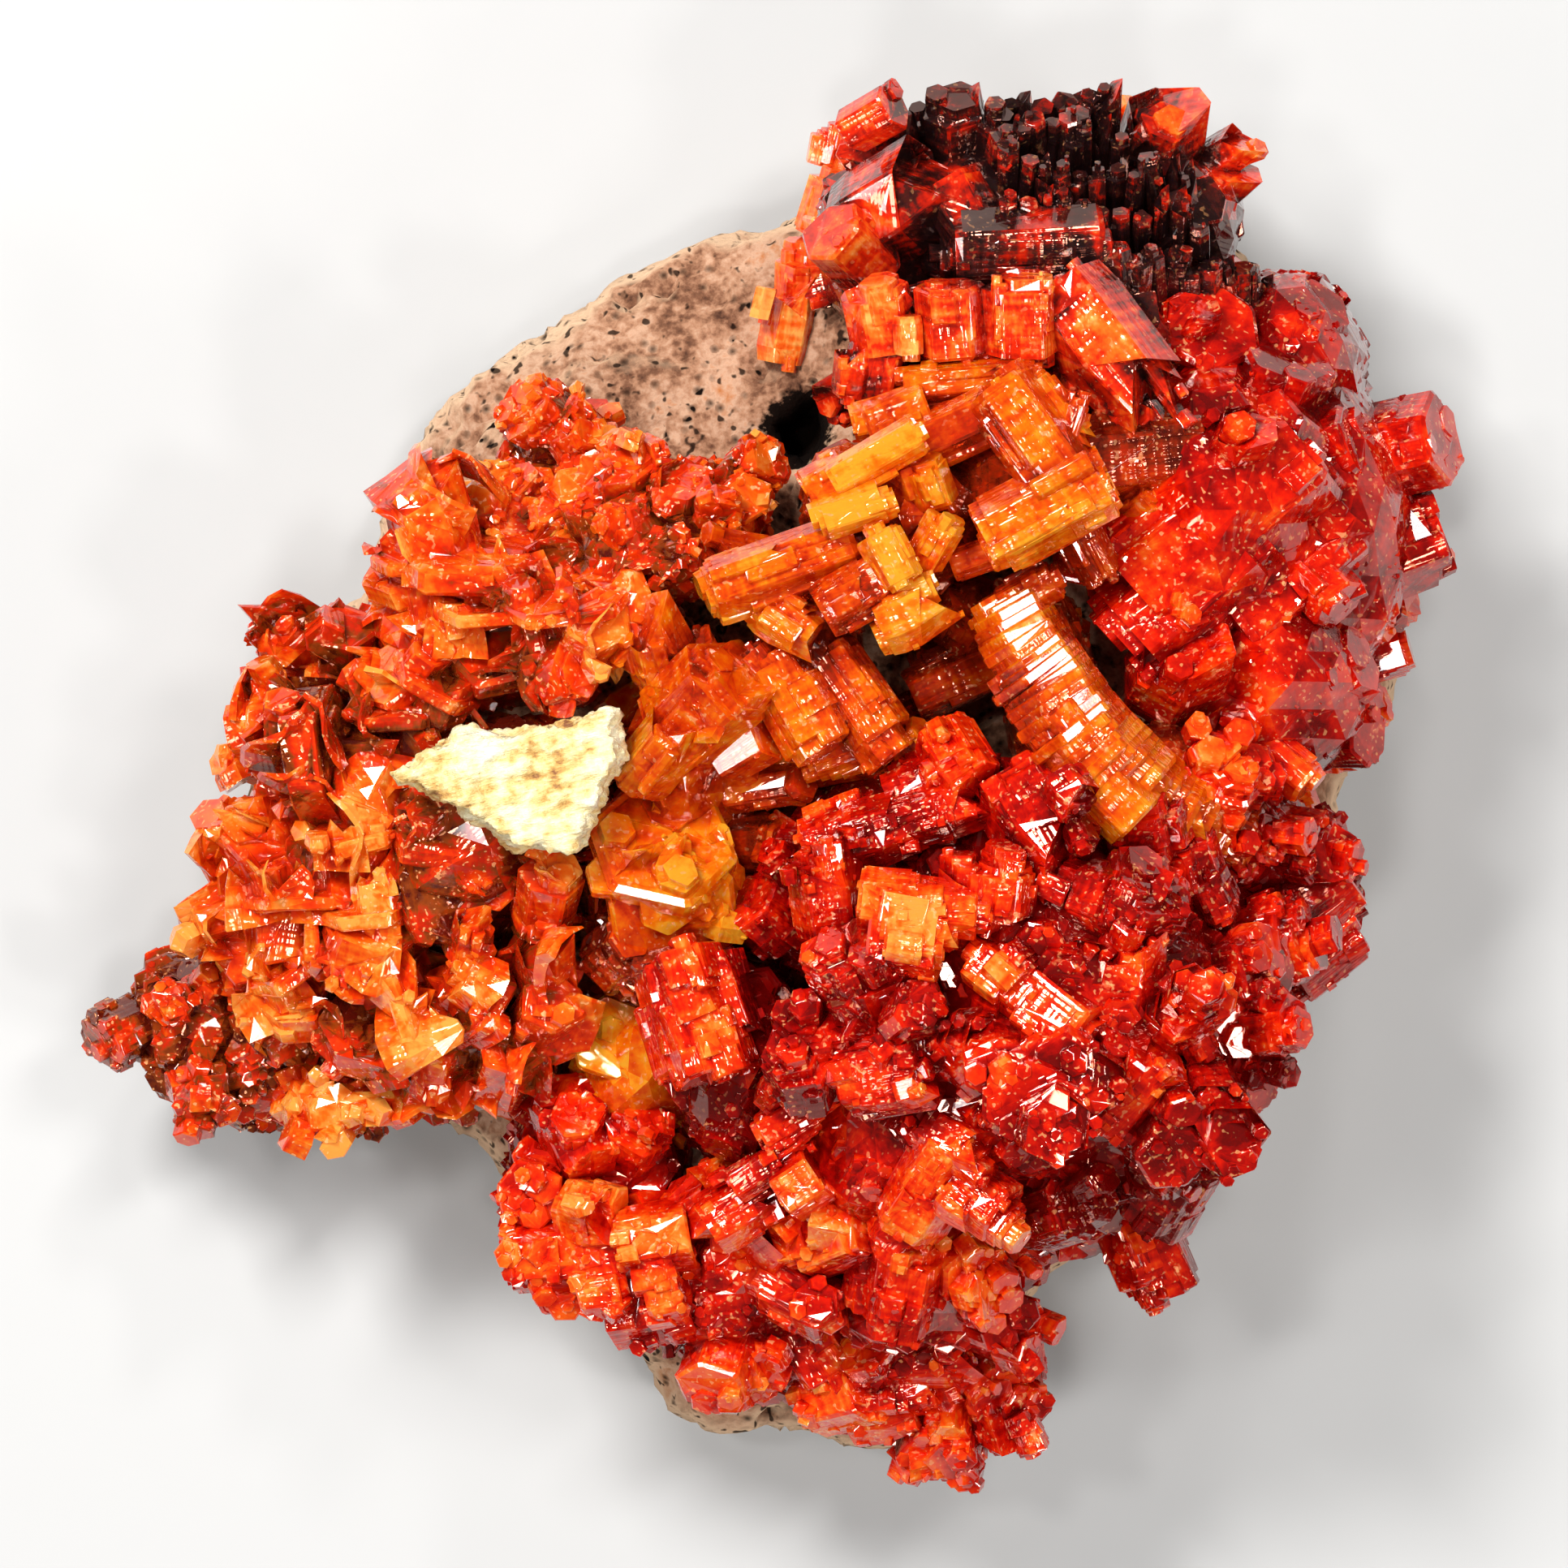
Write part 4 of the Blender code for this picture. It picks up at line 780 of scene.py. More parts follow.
def vanadinite(name, stops, clear, glow, dusty=0.5):
    """A finish for resin-bright, see-through crystals. The tint picks each crystal's colour, and veils cloud
    it. Fine lines run along each crystal's axis, growth steps run across it, and worn grains and specks are
    paler. Painted shade darkens spots that other crystal crowds round, and painted highlight lightens open
    spots."""
    colour, tree, shader, place = finish(
        name, Roughness=0.1, IOR=1.75, Transmission_Weight=clear, Specular_Tint=(1.0, 0.42, 0.28, 1),
        Coat_Weight=0.42, Coat_Roughness=0.03, Coat_IOR=1.65,
        Subsurface_Weight=glow, Subsurface_Radius=(1.0, 0.11, 0.02), Subsurface_Scale=0.4 * MM)
    tint = Wire.node(tree, "ShaderNodeAttribute", {"attribute_name": "tint"}, out="Fac")
    axis = Wire.node(tree, "ShaderNodeAttribute", {"attribute_name": "axis"}, out="Vector")
    facing = Wire.node(tree, "ShaderNodeNewGeometry", out="True Normal")
    side = axis.vector("CROSS_PRODUCT", facing)
    across = side.vector("DOT_PRODUCT", place, out="Value")
    along = axis.vector("DOT_PRODUCT", place, out="Value")
    lines = Wire.node(tree, "ShaderNodeCombineXYZ", None, {"X": across * 5 + tint * 90, "Y": along * 0.45})
    lines = Wire.node(tree, "ShaderNodeTexNoise", {"noise_dimensions": "2D"},
                      {"Vector": lines, "Scale": 1.0, "Detail": 1.0, "Roughness": 0.6})
    steps = Wire.node(tree, "ShaderNodeTexNoise", {"noise_dimensions": "1D"},
                      {"W": along * 3.5 + tint * 40, "Scale": 1.0, "Detail": 1.0})
    veil = grain(tree, place, 1.6, 3, 0.68)
    cloud = grain(tree, place, 0.45, 1)
    specks = grain(tree, place, 6.5, 0)
    hidden = Wire.node(tree, "ShaderNodeAttribute", {"attribute_name": "hidden"}, out="Fac")
    # Tone from tint, clouds, lines and steps, plus painted shade in crowded spots and painted highlight on
    # open ones; pale worn grains keep out of the crowded spots.
    tone_and_painted_shade = (tint + (cloud - 0.5) * 0.9 + (veil - 0.5) * 0.8 + (lines - 0.5) * 0.35 + (steps - 0.5) * 0.4
             - (hidden - 0.24) * 0.55)
    body = Wire.node(tree, "ShaderNodeValToRGB", {"stops": stops}, {"Fac": tone_and_painted_shade})
    worn_spots = (specks + (veil - 0.5) * 0.5 - 0.70).ramp(0.0, 0.05)
    dust = (worn_spots + (veil - 0.64).ramp(0.0, 0.08) * 0.7) * dusty
    link(mixed(tree, dust * (1 - hidden.ramp(0.3, 0.7)), body, (0.93, 0.42, 0.16, 1)), shader, "Base Color")
    link(0.03 + (veil - 0.48).ramp(0.0, 0.3) * 0.12 + dust * 0.3, shader, "Roughness")
    bump(lines * 0.7 + steps * 0.3 + cloud * 0.2, shader, 0.3, 0.2)
    return colour


main_lumps = [
    lump(7.6, -6.6, 10.5, 7.4, 6.6, 7.2), lump(12.2, -5.6, 8.0, 4.0, 4.8, 6.0),
    lump(9.2, -11.9, 7.0, 3.8, 2.8, 5.6), lump(3.4, -9.8, 9.5, 4.2, 4.8, 6.0),
    lump(12.8, -1.6, 8.4, 3.8, 3.0, 5.6), lump(3.4, -1.2, 9.6, 3.4, 2.6, 5.4),
]
main_druse = main_lumps + blocks(
    (3.9, -3.7, 17.1, -8, 6, 2.6, 2.0, 0.6), (5.2, -3.8, 17.3, 0, 5, 1.2, 1.0, 0.5),
    (6.4, -3.1, 17.2, 85, 15, 1.7, 1.9, 0.45), (8.2, -6.8, 17.1, -38, 20, 2.3, 1.9, 0.66),
    (6.6, -5.8, 17.0, -38, 18, 2.2, 1.5, 0.62), (7.0, -7.3, 16.6, -50, 35, 2.4, 1.4, 0.66),
    (5.0, -7.8, 17.0, 40, 55, 1.8, 1.5, 0.4), (7.3, -9.6, 16.2, -38, 15, 2.2, 1.1, 0.6),
    (8.1, -8.8, 16.5, -38, 15, 2.0, 1.3, 0.6), (9.6, -9.1, 15.9, 55, 30, 1.8, 1.1, 0.62),
    (10.2, -5.6, 16.6, 78, 20, 2.4, 1.1, 0.55), (11.7, -6.7, 15.8, 50, 60, 2.0, 2.4),
    (13.9, -5.6, 13.8, 10, 40, 2.0, 2.6), (13.6, -8.6, 12.4, -20, 40, 2.6, 2.2),
    (5.1, -11.0, 15.4, -35, 15, 2.6, 1.3, 0.62), (5.7, -12.3, 15.0, -35, 15, 2.4, 1.9, 0.66),
    (4.2, -12.0, 14.9, 60, 30, 2.0, 1.6), (3.8, -13.0, 14.0, 50, 30, 2.2, 1.3),
    (5.6, 0.9, 15.2, -55, 35, 1.8, 1.2, 0.5), (4.4, 0.4, 14.6, 25, 15, 1.8, 1.2, 0.45),
    (7.8, -1.1, 15.9, -60, 30, 3.0, 2.8, 0.36), (0.9, -3.1, 15.0, 98, 12, 2.2, 1.1, 0.45),
    (1.9, -1.2, 14.8, 20, 10, 2.6, 1.2), (3.6, -1.0, 15.2, 15, 10, 2.8, 1.5, 0.4),
    (10.8, -10.6, 13.8, -40, 20, 2.6, 1.6), (11.6, -12.1, 11.8, 60, 40, 2.4, 2.2),
    (8.3, -12.8, 12.6, 20, 50, 2.4, 2.2), (9.4, -3.4, 16.7, -20, 30, 2.4, 1.8),
    (2.2, -5.8, 16.0, 120, 40, 2.8, 2.4), (1.2, -8.0, 15.2, 100, 50, 2.6, 2.2),
    (3.2, -8.6, 16.2, 10, 30, 2.8, 2.4), (11.6, -2.2, 14.8, 100, 30, 3.0, 1.3),
    (12.8, -2.8, 14.2, 110, 30, 3.0, 1.2), (9.6, -7.6, 16.0, 30, 50, 2.6, 2.0),
    (-0.2, -9.0, 14.8, 45, 60, 1.4, 1.0), (0.5, -8.2, 15.1, 45, 60, 1.2, 1.0),
    (-2.5, -6.9, 13.6, -72, 10, 2.8, 2.1, 0.5),
) + [lump(-1.4, -8.4, 9.6, 2.8, 3.8, 4.6)] + [
    block(-1.2 + 0.3 * bar, -12.6 + 0.42 * bar, 12.9 + 0.22 * bar, 35, 8, 1.6, 0.5, 0.5) for bar in range(8)
]
main_druse += coat(main_lumps[0], 8, 2.6, 11) + coat(main_lumps[1], 5, 2.5, 12)
main_druse += coat(main_lumps[2], 4, 2.4, 13) + coat(main_lumps[4], 4, 2.2, 14)
main_druse += edge([
    (16.7, -1.6, 8.6), (17.2, -4.2, 7.6), (16.0, -6.6, 7.2), (15.0, -8.6, 7.0), (13.6, -10.0, 6.6),
    (12.9, -12.0, 6.2), (12.2, -13.5, 5.6), (10.6, -13.9, 5.8), (8.6, -14.8, 6.4),
], 2.6, 1.9, 15)

# Each list of colours below runs from dark to light: a tint, and its colour.
DEEP = [(0.0, (0.14, 0.001, 0.001)), (0.22, (0.38, 0.002, 0.001)), (0.42, (0.64, 0.009, 0.001)),
        (0.6, (0.80, 0.035, 0.002)), (0.8, (0.88, 0.12, 0.006)), (1.0, (0.92, 0.28, 0.04))]
deep_red = vanadinite("deep_red_vanadinite", DEEP, 0.32, 0.16)
grow("main_druse_crystals", main_druse, (0.16, 0.62), 8, {
    "Spacing": 1.15, "Width": 1.8, "Slenderness": 1.4, "Lean": 0.35, "Growth": (0.5, -0.45, 0.7),
    "Pull": 0.6, "Colony": 3.0, "Cover": 0.75, "Dusting": 0.62, "Sink": 0.42, "Disorder": 0.5,
    "Fineness": 0.46, "Seed": 3, "Warp": 0.2,
}, deep_red)


# ---- Centre blocks: the clearest crystals, orange and honey-coloured, in a stepped knot over the middle of
# the specimen. They stand apart more than the red ones do, so their flat sides and ends show whole.

centre_lumps = [
    lump(3.4, 8.2, 11.4, 3.6, 3.0, 5.0), lump(7.2, 9.2, 11.6, 3.0, 2.6, 4.8),
    lump(0.8, 4.2, 10.4, 2.0, 2.6, 5.0), lump(5.6, 4.6, 8.2, 2.4, 2.2, 3.6),
]
centre_blocks = centre_lumps + blocks(
    (-0.1, 6.75, 16.1, 19, -3, 4.6, 1.7, 0.7), (-1.7, 6.1, 15.8, 200, 10, 1.5, 1.5, 0.9),
    (2.7, 9.95, 16.8, 30, 0, 3.0, 1.2, 0.88), (2.1, 8.4, 17.0, 18, 0, 2.3, 1.2, 0.9),
    (1.3, 9.2, 16.3, 30, 0, 1.4, 1.5, 0.85), (3.15, 6.9, 17.2, -62, 4, 1.7, 1.3, 0.82),
    (3.7, 5.25, 16.7, 25, 3, 1.9, 1.8, 0.84), (1.85, 5.75, 16.8, 30, 0, 1.9, 1.6, 0.36),
    (0.0, 5.15, 15.6, -35, 10, 1.8, 1.6, 0.78), (4.5, 7.4, 16.4, 60, 20, 1.7, 1.1, 0.84),
    (4.3, 9.2, 16.1, 110, 20, 1.6, 1.3, 0.72), (7.8, 8.4, 16.5, 28, 3, 4.0, 2.2, 0.62),
    (7.1, 7.6, 16.9, 28, 3, 2.0, 1.2, 0.9), (9.0, 8.7, 16.7, 28, 3, 1.6, 1.7, 0.82),
    (5.9, 7.0, 15.5, 20, 3, 1.9, 0.9, 0.66), (7.4, 10.8, 16.3, -55, 5, 3.4, 2.0, 0.64),
    (8.3, 11.2, 16.0, -55, 5, 2.6, 1.0, 0.88), (6.8, 10.2, 16.6, -55, 5, 2.4, 0.8, 0.42),
    (8.6, 10.9, 16.2, 75, 10, 1.9, 0.7, 0.5), (5.1, 10.9, 15.4, 25, 5, 2.8, 1.5, 0.62),
    (3.4, 11.3, 14.9, 20, 5, 2.0, 1.4, 0.66), (0.4, 2.5, 14.8, -60, 8, 3.3, 1.9, 0.64),
    (-0.5, 3.5, 14.8, -50, 10, 1.8, 1.2, 0.45), (2.1, 2.8, 14.4, -55, 10, 3.2, 1.9, 0.46),
    (1.9, 1.2, 13.8, 20, 5, 2.6, 1.2, 0.8), (3.8, 1.4, 13.9, 40, 30, 1.2, 1.0, 0.85),
    # The two low blocks on the next line have a dark tint: partly their own brown colour, partly painted
    # shade.
    (5.2, 3.4, 11.8, 25, -8, 3.2, 1.6, 0.28, 10), (5.6, 5.3, 12.4, 60, 50, 2.2, 1.8, 0.26),
    (7.4, 5.9, 14.8, 30, 10, 1.8, 1.2, 0.5), (10.6, 10.2, 13.9, 8, -14, 3.8, 2.5, 0.24, 12),
    (10.8, 8.5, 13.8, 40, 40, 1.4, 1.0, 0.5), (1.4, 1.0, 12.6, 10, 20, 3.6, 1.4),
    (9.2, 7.2, 14.6, 120, 20, 1.8, 1.2, 0.6), (5.6, 12.3, 14.8, 5, 5, 4.0, 1.2, 0.66),
    (-1.0, 6.4, 13.8, 160, 30, 2.6, 2.2),
)
FIRE = [(0.0, (0.10, 0.006, 0.002)), (0.18, (0.26, 0.018, 0.003)), (0.36, (0.54, 0.022, 0.002)),
        (0.56, (0.78, 0.07, 0.002)), (0.8, (0.92, 0.19, 0.003)), (1.0, (0.96, 0.38, 0.02))]
honey = vanadinite("honey_orange_vanadinite", FIRE, 0.48, 0.25)
grow("centre_block_crystals", centre_blocks, (0.45, 0.75), 10, {
    "Spacing": 1.7, "Width": 1.4, "Slenderness": 1.2, "Lean": 0.4, "Growth": (-0.3, 0.2, 0.9),
    "Colony": 2.6, "Cover": 0.36, "Sink": 0.38, "Disorder": 0.4, "Fineness": 0.45, "Tint spread": 0.14,
    "Seed": 21, "Warp": 0.18,
}, honey)


# ---- Arched row: thin plates grown side by side like the pages of a bent book, from the centre to the right
# edge. Their ends make a bright, finely ribbed crest, and their far side is one smooth orange wall.

def along(path, share):
    """The point at this share of a smooth curve through the path's points."""
    place = share * (len(path) - 1)
    index = min(int(place), len(path) - 2)
    t = place - index
    before, start, end, after = (Vector(path[max(0, min(len(path) - 1, index + k))]) for k in (-1, 0, 1, 2))
    return 0.5 * (2 * start + (end - before) * t + (2 * before - 5 * start + 4 * end - after) * t * t
                  + (3 * start - before - 3 * end + after) * t ** 3)


def arch(crest, count, width, seed):
    """Thin six-sided plates stacked like the pages of a bent book, smaller towards both ends. Their
    right-hand edges keep to the crest, where they make one smooth wall, and their left-hand edges are
    uneven."""
    chance = random.Random(seed)
    plates = []
    for number in range(count):
        share = number / (count - 1)
        here, ahead, behind = (along(crest, min(1.0, max(0.0, share + step / (count - 1))))
                               for step in (0, 0.5, -0.5))
        heading = ahead - behind
        size = width * (0.7 + 0.3 * math.sin(math.pi * share)) * chance.uniform(0.88, 1.08)
        left = Vector((heading.y, -heading.x, 0)).normalized() * size * 0.5
        plates.append(block(
            here.x + left.x, here.y + left.y, here.z - 0.4 * size + chance.uniform(-0.2, 0.1),
            math.degrees(math.atan2(heading.y, heading.x)), 0,
            heading.length * chance.uniform(1.3, 1.8), size,
            spin=chance.uniform(-14, -9) if share < 0.45 else chance.uniform(-6, 6),
            tint=chance.uniform(0.5, 0.74)))
    return plates


ARCH_CREST = [(7.6, 6.2, 15.2), (8.3, 5.0, 16.2), (9.0, 4.0, 16.9), (9.9, 2.7, 17.2), (10.9, 1.6, 17.0),
              (12.2, 0.5, 16.0), (13.6, -0.2, 14.4), (15.0, -1.0, 12.6)]
arched_row = [
    lump(8.0, 3.0, 11.4, 1.9, 3.6, 3.8), lump(11.2, 0.6, 11.0, 3.0, 1.9, 3.8),
]
arched_row += arch(ARCH_CREST, 38, 3.0, 33)
grow("arched_row_crystals", arched_row, (0.4, 0.6), 1, {
    "Spacing": 1.5, "Width": 1.0, "Slenderness": 0.9, "Lean": 0.3, "Growth": (-0.4, -0.3, 0.9),
    "Pull": 0.3, "Colony": 2.0, "Cover": 0.2, "Sink": 0.4, "Disorder": 0.3, "Fineness": 0.45,
    "Tint spread": 0.12, "Seed": 31, "Last form": LEDGED, "Warp": 0.15,
}, honey)


# ---- Right wall: the crimson slope right of the centre, of larger crystals with long smooth sides.
# It falls to the right edge, where a knobbly lip of small crystals stands up again.

wall_lumps = [
    lump(12.6, 8.4, 9.9, 4.6, 5.4, 5.6), lump(16.2, 7.8, 7.6, 3.6, 5.6, 5.4),
    lump(15.2, 12.8, 7.0, 3.3, 3.7, 5.0), lump(14.4, 3.2, 8.6, 4.2, 3.8, 5.4),
    lump(12.4, 12.0, 8.2, 3.0, 3.4, 4.4),
]
right_wall = wall_lumps + blocks(
    (13.2, 8.2, 12.9, 41, 1, 6.8, 3.6, 0.38, 4), (12.3, 6.2, 12.9, 41, 2, 5.4, 3.0, 0.36, -4),
    (15.2, 6.4, 11.7, 42, -16, 5.0, 2.8, 0.38, 8), (11.4, 8.2, 13.6, 40, 4, 4.2, 1.8, 0.34, 6),
    (14.8, 8.9, 12.7, 41, -18, 3.4, 1.7, 0.42, 8), (17.3, 6.6, 10.6, 75, 12, 3.2, 1.7, 0.55),
    (11.9, 3.6, 12.9, 60, 60, 3.0, 2.8, 0.38), (14.9, 11.8, 10.9, 70, 30, 3.4, 2.8, 0.3),
    (16.0, 10.0, 10.8, 20, 20, 3.4, 2.4, 0.34), (12.1, 5.5, 13.9, -10, 60, 1.2, 1.2, 0.6),
    (15.1, 4.7, 12.0, 60, 30, 1.2, 0.8, 0.7), (14.5, 3.1, 12.2, 30, 60, 1.6, 1.5, 0.5),
    (16.6, 3.4, 10.6, 30, 30, 2.6, 2.2, 0.42), (17.0, 1.6, 9.2, 0, 40, 2.4, 1.8),
    (14.6, 1.2, 12.2, -40, 12, 3.6, 1.3, 0.66), (18.4, 7.4, 8.0, 20, -10, 3.4, 3.0, 0.36),
    (18.0, 5.0, 8.6, 0, 30, 1.4, 1.0, 0.8), (12.6, 13.4, 10.6, 60, 60, 3.4, 3.0, 0.26),
    (15.6, 14.0, 9.2, 60, 40, 3.0, 2.6, 0.28),
)
right_wall += coat(wall_lumps[0], 4, 2.2, 45) + coat(wall_lumps[1], 3, 2.2, 46)
right_wall += edge([
    (15.0, 16.6, 5.8), (16.4, 16.4, 5.8), (17.5, 15.2, 6.0), (18.2, 13.8, 6.2), (18.3, 12.5, 6.4),
    (18.3, 11.0, 6.0), (18.8, 9.6, 6.0), (19.7, 8.8, 5.8), (20.9, 7.6, 5.4), (20.5, 6.2, 5.6),
    (20.2, 4.8, 5.8), (19.4, 3.2, 6.2), (18.5, 1.5, 6.8), (17.4, 0.0, 7.4),
], 2.2, 1.7, 47, 0.76)
grow("right_wall_crystals", right_wall, (0.26, 0.46), 4, {
    "Spacing": 1.6, "Width": 1.3, "Lean": 0.3, "Growth": (0.3, 0.2, 0.9), "Colony": 3.0, "Cover": 0.42,
    "Dusting": 0.9, "Sink": 0.42, "Disorder": 0.5, "Fineness": 0.38, "Tint spread": 0.12, "Seed": 41,
    "Warp": 0.2,
}, deep_red)


# ---- Ridge: the top of the specimen, with rows of upright columns whose ends are nearly black.
# A glossy red hollow lies below and left of the columns, inside a knobbly orange-red edge.

ridge_lumps = [
    lump(6.4, 17.4, 8.0, 5.0, 2.9, 4.2), lump(3.2, 16.6, 8.0, 2.9, 3.2, 3.4),
    lump(11.6, 17.4, 7.8, 3.0, 2.8, 4.0), lump(6.0, 13.6, 10.4, 4.6, 2.4, 4.6),
    lump(9.6, 13.4, 11.0, 2.8, 2.6, 4.2),
]
dark_ridge = ridge_lumps + blocks(
    (5.2, 19.9, 9.8, 95, 42, 3.4, 1.7, 0.17, 20), (4.6, 19.7, 9.4, 105, 40, 2.8, 1.1, 0.2),
    (6.4, 19.6, 10.2, 88, 42, 2.8, 1.0, 0.16, 10), (3.4, 17.9, 11.2, 30, 30, 3.4, 3.0, 0.36),
    (5.6, 17.3, 12.2, -60, 12, 2.8, 1.8, 0.42), (7.4, 16.5, 12.4, 2, -4, 4.6, 2.4, 0.32, 14),
    (2.9, 14.2, 14.2, 100, 20, 2.2, 1.8, 0.5), (2.8, 12.7, 13.6, 80, 20, 1.8, 1.7, 0.5),
    (5.0, 14.2, 14.5, 95, 15, 2.2, 2.0, 0.5), (3.7, 13.7, 15.0, 92, 10, 1.2, 0.8, 0.72),
    (7.1, 14.3, 14.6, 92, 15, 2.6, 2.0, 0.46), (6.5, 14.4, 15.2, 90, 12, 1.9, 0.55, 0.66),
    (7.8, 14.6, 15.2, 90, 12, 1.7, 0.55, 0.66), (9.7, 13.5, 14.2, -54, 14, 4.3, 2.8, 0.42, 9),
    (10.7, 13.5, 14.3, -56, 14, 3.9, 0.9, 0.6, 9), (2.0, 16.4, 11.8, 140, 40, 2.4, 2.0, 0.55),
    (3.0, 19.6, 9.8, 120, 50, 2.4, 2.2, 0.5), (2.2, 12.0, 12.4, 200, 40, 2.0, 1.6),
    (11.5, 19.9, 9.2, 70, 50, 2.8, 2.4, 0.46), (12.9, 18.6, 8.6, 30, 40, 2.4, 2.0, 0.5),
)
dark_columns = row((6.8, 18.3, 12.0), (12.3, 18.0, 11.0), 11, 90, 42, 2.4, 0.6, 56)
dark_columns += row((6.6, 19.4, 11.2), (10.2, 19.3, 10.8), 8, 90, 42, 2.2, 0.6, 57)
dark_columns += row((7.2, 20.2, 9.8), (9.8, 20.3, 9.6), 5, 90, 45, 2.4, 0.85, 58)
dark_columns += row((6.8, 17.4, 12.6), (12.6, 17.0, 11.6), 11, 90, 50, 1.4, 0.55, 61)
dark_columns += row((10.2, 15.7, 12.4), (14.0, 15.2, 10.6), 8, 88, 30, 1.8, 0.75, 59)
dark_columns += row((14.0, 14.9, 10.4), (16.0, 14.2, 8.8), 4, 85, 30, 1.6, 0.95, 62)
for made in dark_columns:
    made["tint"] = 0.1
dark_ridge += dark_columns + edge([
    (4.0, 20.9, 6.4), (3.2, 21.2, 6.2), (2.2, 20.1, 6.4), (1.3, 19.0, 6.6), (0.7, 17.8, 6.6),
    (0.4, 16.6, 6.8), (11.3, 21.6, 6.6), (12.6, 20.9, 6.6), (13.5, 19.7, 6.4), (14.0, 18.4, 6.2),
    (14.1, 17.0, 6.2),
], 2.2, 1.6, 60, 0.76)
DUSK = [(0.0, (0.012, 0.004, 0.004)), (0.16, (0.06, 0.008, 0.006)), (0.3, (0.34, 0.008, 0.003)),
        (0.5, (0.72, 0.02, 0.003)), (0.75, (0.94, 0.15, 0.012)), (1.0, (0.97, 0.42, 0.09))]
grow("ridge_crystals", dark_ridge, (0.36, 0.66), 3, {
    "Spacing": 1.3, "Width": 1.3, "Slenderness": 1.7, "Lean": 0.3, "Growth": (0.0, 0.7, 0.6), "Pull": 0.6,
    "Cover": 0.36, "Dusting": 0.9, "Sink": 0.4, "Disorder": 0.3, "Tint spread": 0.09, "Seed": 51,
    "Warp": 0.25,
}, vanadinite("dusky_vanadinite", DUSK, 0.3, 0.15, 0.2))


# ---- Middle plates: broad, thin orange plates that stand on edge left of the centre, with red ends.
# One large plate tilts up over the barite.

middle_lumps = [
    lump(-3.2, 0.6, 9.4, 2.6, 3.4, 5.4), lump(-4.2, -4.2, 8.8, 2.4, 2.6, 4.4),
    lump(-4.4, -8.4, 8.2, 2.6, 2.8, 4.0),
]
middle_plates = middle_lumps + blocks(
    (-3.8, -1.8, 13.6, 78, 58, 0.9, 4.2, 0.8), (-3.5, -3.9, 13.4, -62, 60, 0.9, 4.0, 0.86, 12),
    (-2.5, -3.0, 13.0, 10, 30, 1.2, 2.6, 0.8), (-4.8, -5.0, 12.4, 40, 60, 2.2, 2.4, 0.24),
    (-2.4, 2.6, 14.6, 45, 35, 3.0, 2.8, 0.6), (-2.2, 1.6, 15.0, 38, 10, 3.6, 0.8, 0.8),
    (-1.2, 1.3, 14.0, 30, 30, 1.8, 1.6, 0.5), (-3.9, 4.2, 14.0, 110, 40, 2.4, 1.8, 0.72),
    (-1.0, -1.8, 11.6, 0, 30, 1.8, 1.4, 0.35), (-3.9, 1.0, 14.6, 50, 30, 2.6, 1.8, 0.62),
    (-0.6, 0.0, 12.6, 10, 10, 2.6, 1.2, 0.5),
)
grow("middle_plate_crystals", middle_plates, (0.5, 0.85), 6, {
    "Spacing": 1.6, "Width": 2.2, "Slenderness": 0.5, "Lean": 0.8, "Growth": (0.3, 0.3, 0.8), "Pull": 0.3,
    "Cover": 0.4, "Dusting": 0.7, "Sink": 0.25, "Disorder": 1.0, "Fineness": 0.42, "Tint spread": 0.2,
    "Seed": 61, "First form": PLATE, "Last form": SLAB, "Small form": CHIP, "Warp": 0.5,
}, honey)


# ---- Left blades: a hackly field of thin orange and brown blades around the barite, most of them edge-on,
# with pale broken rims and dark gaps between them; painted highlight adds to the rims' paleness and painted
# shade to the gaps' darkness.

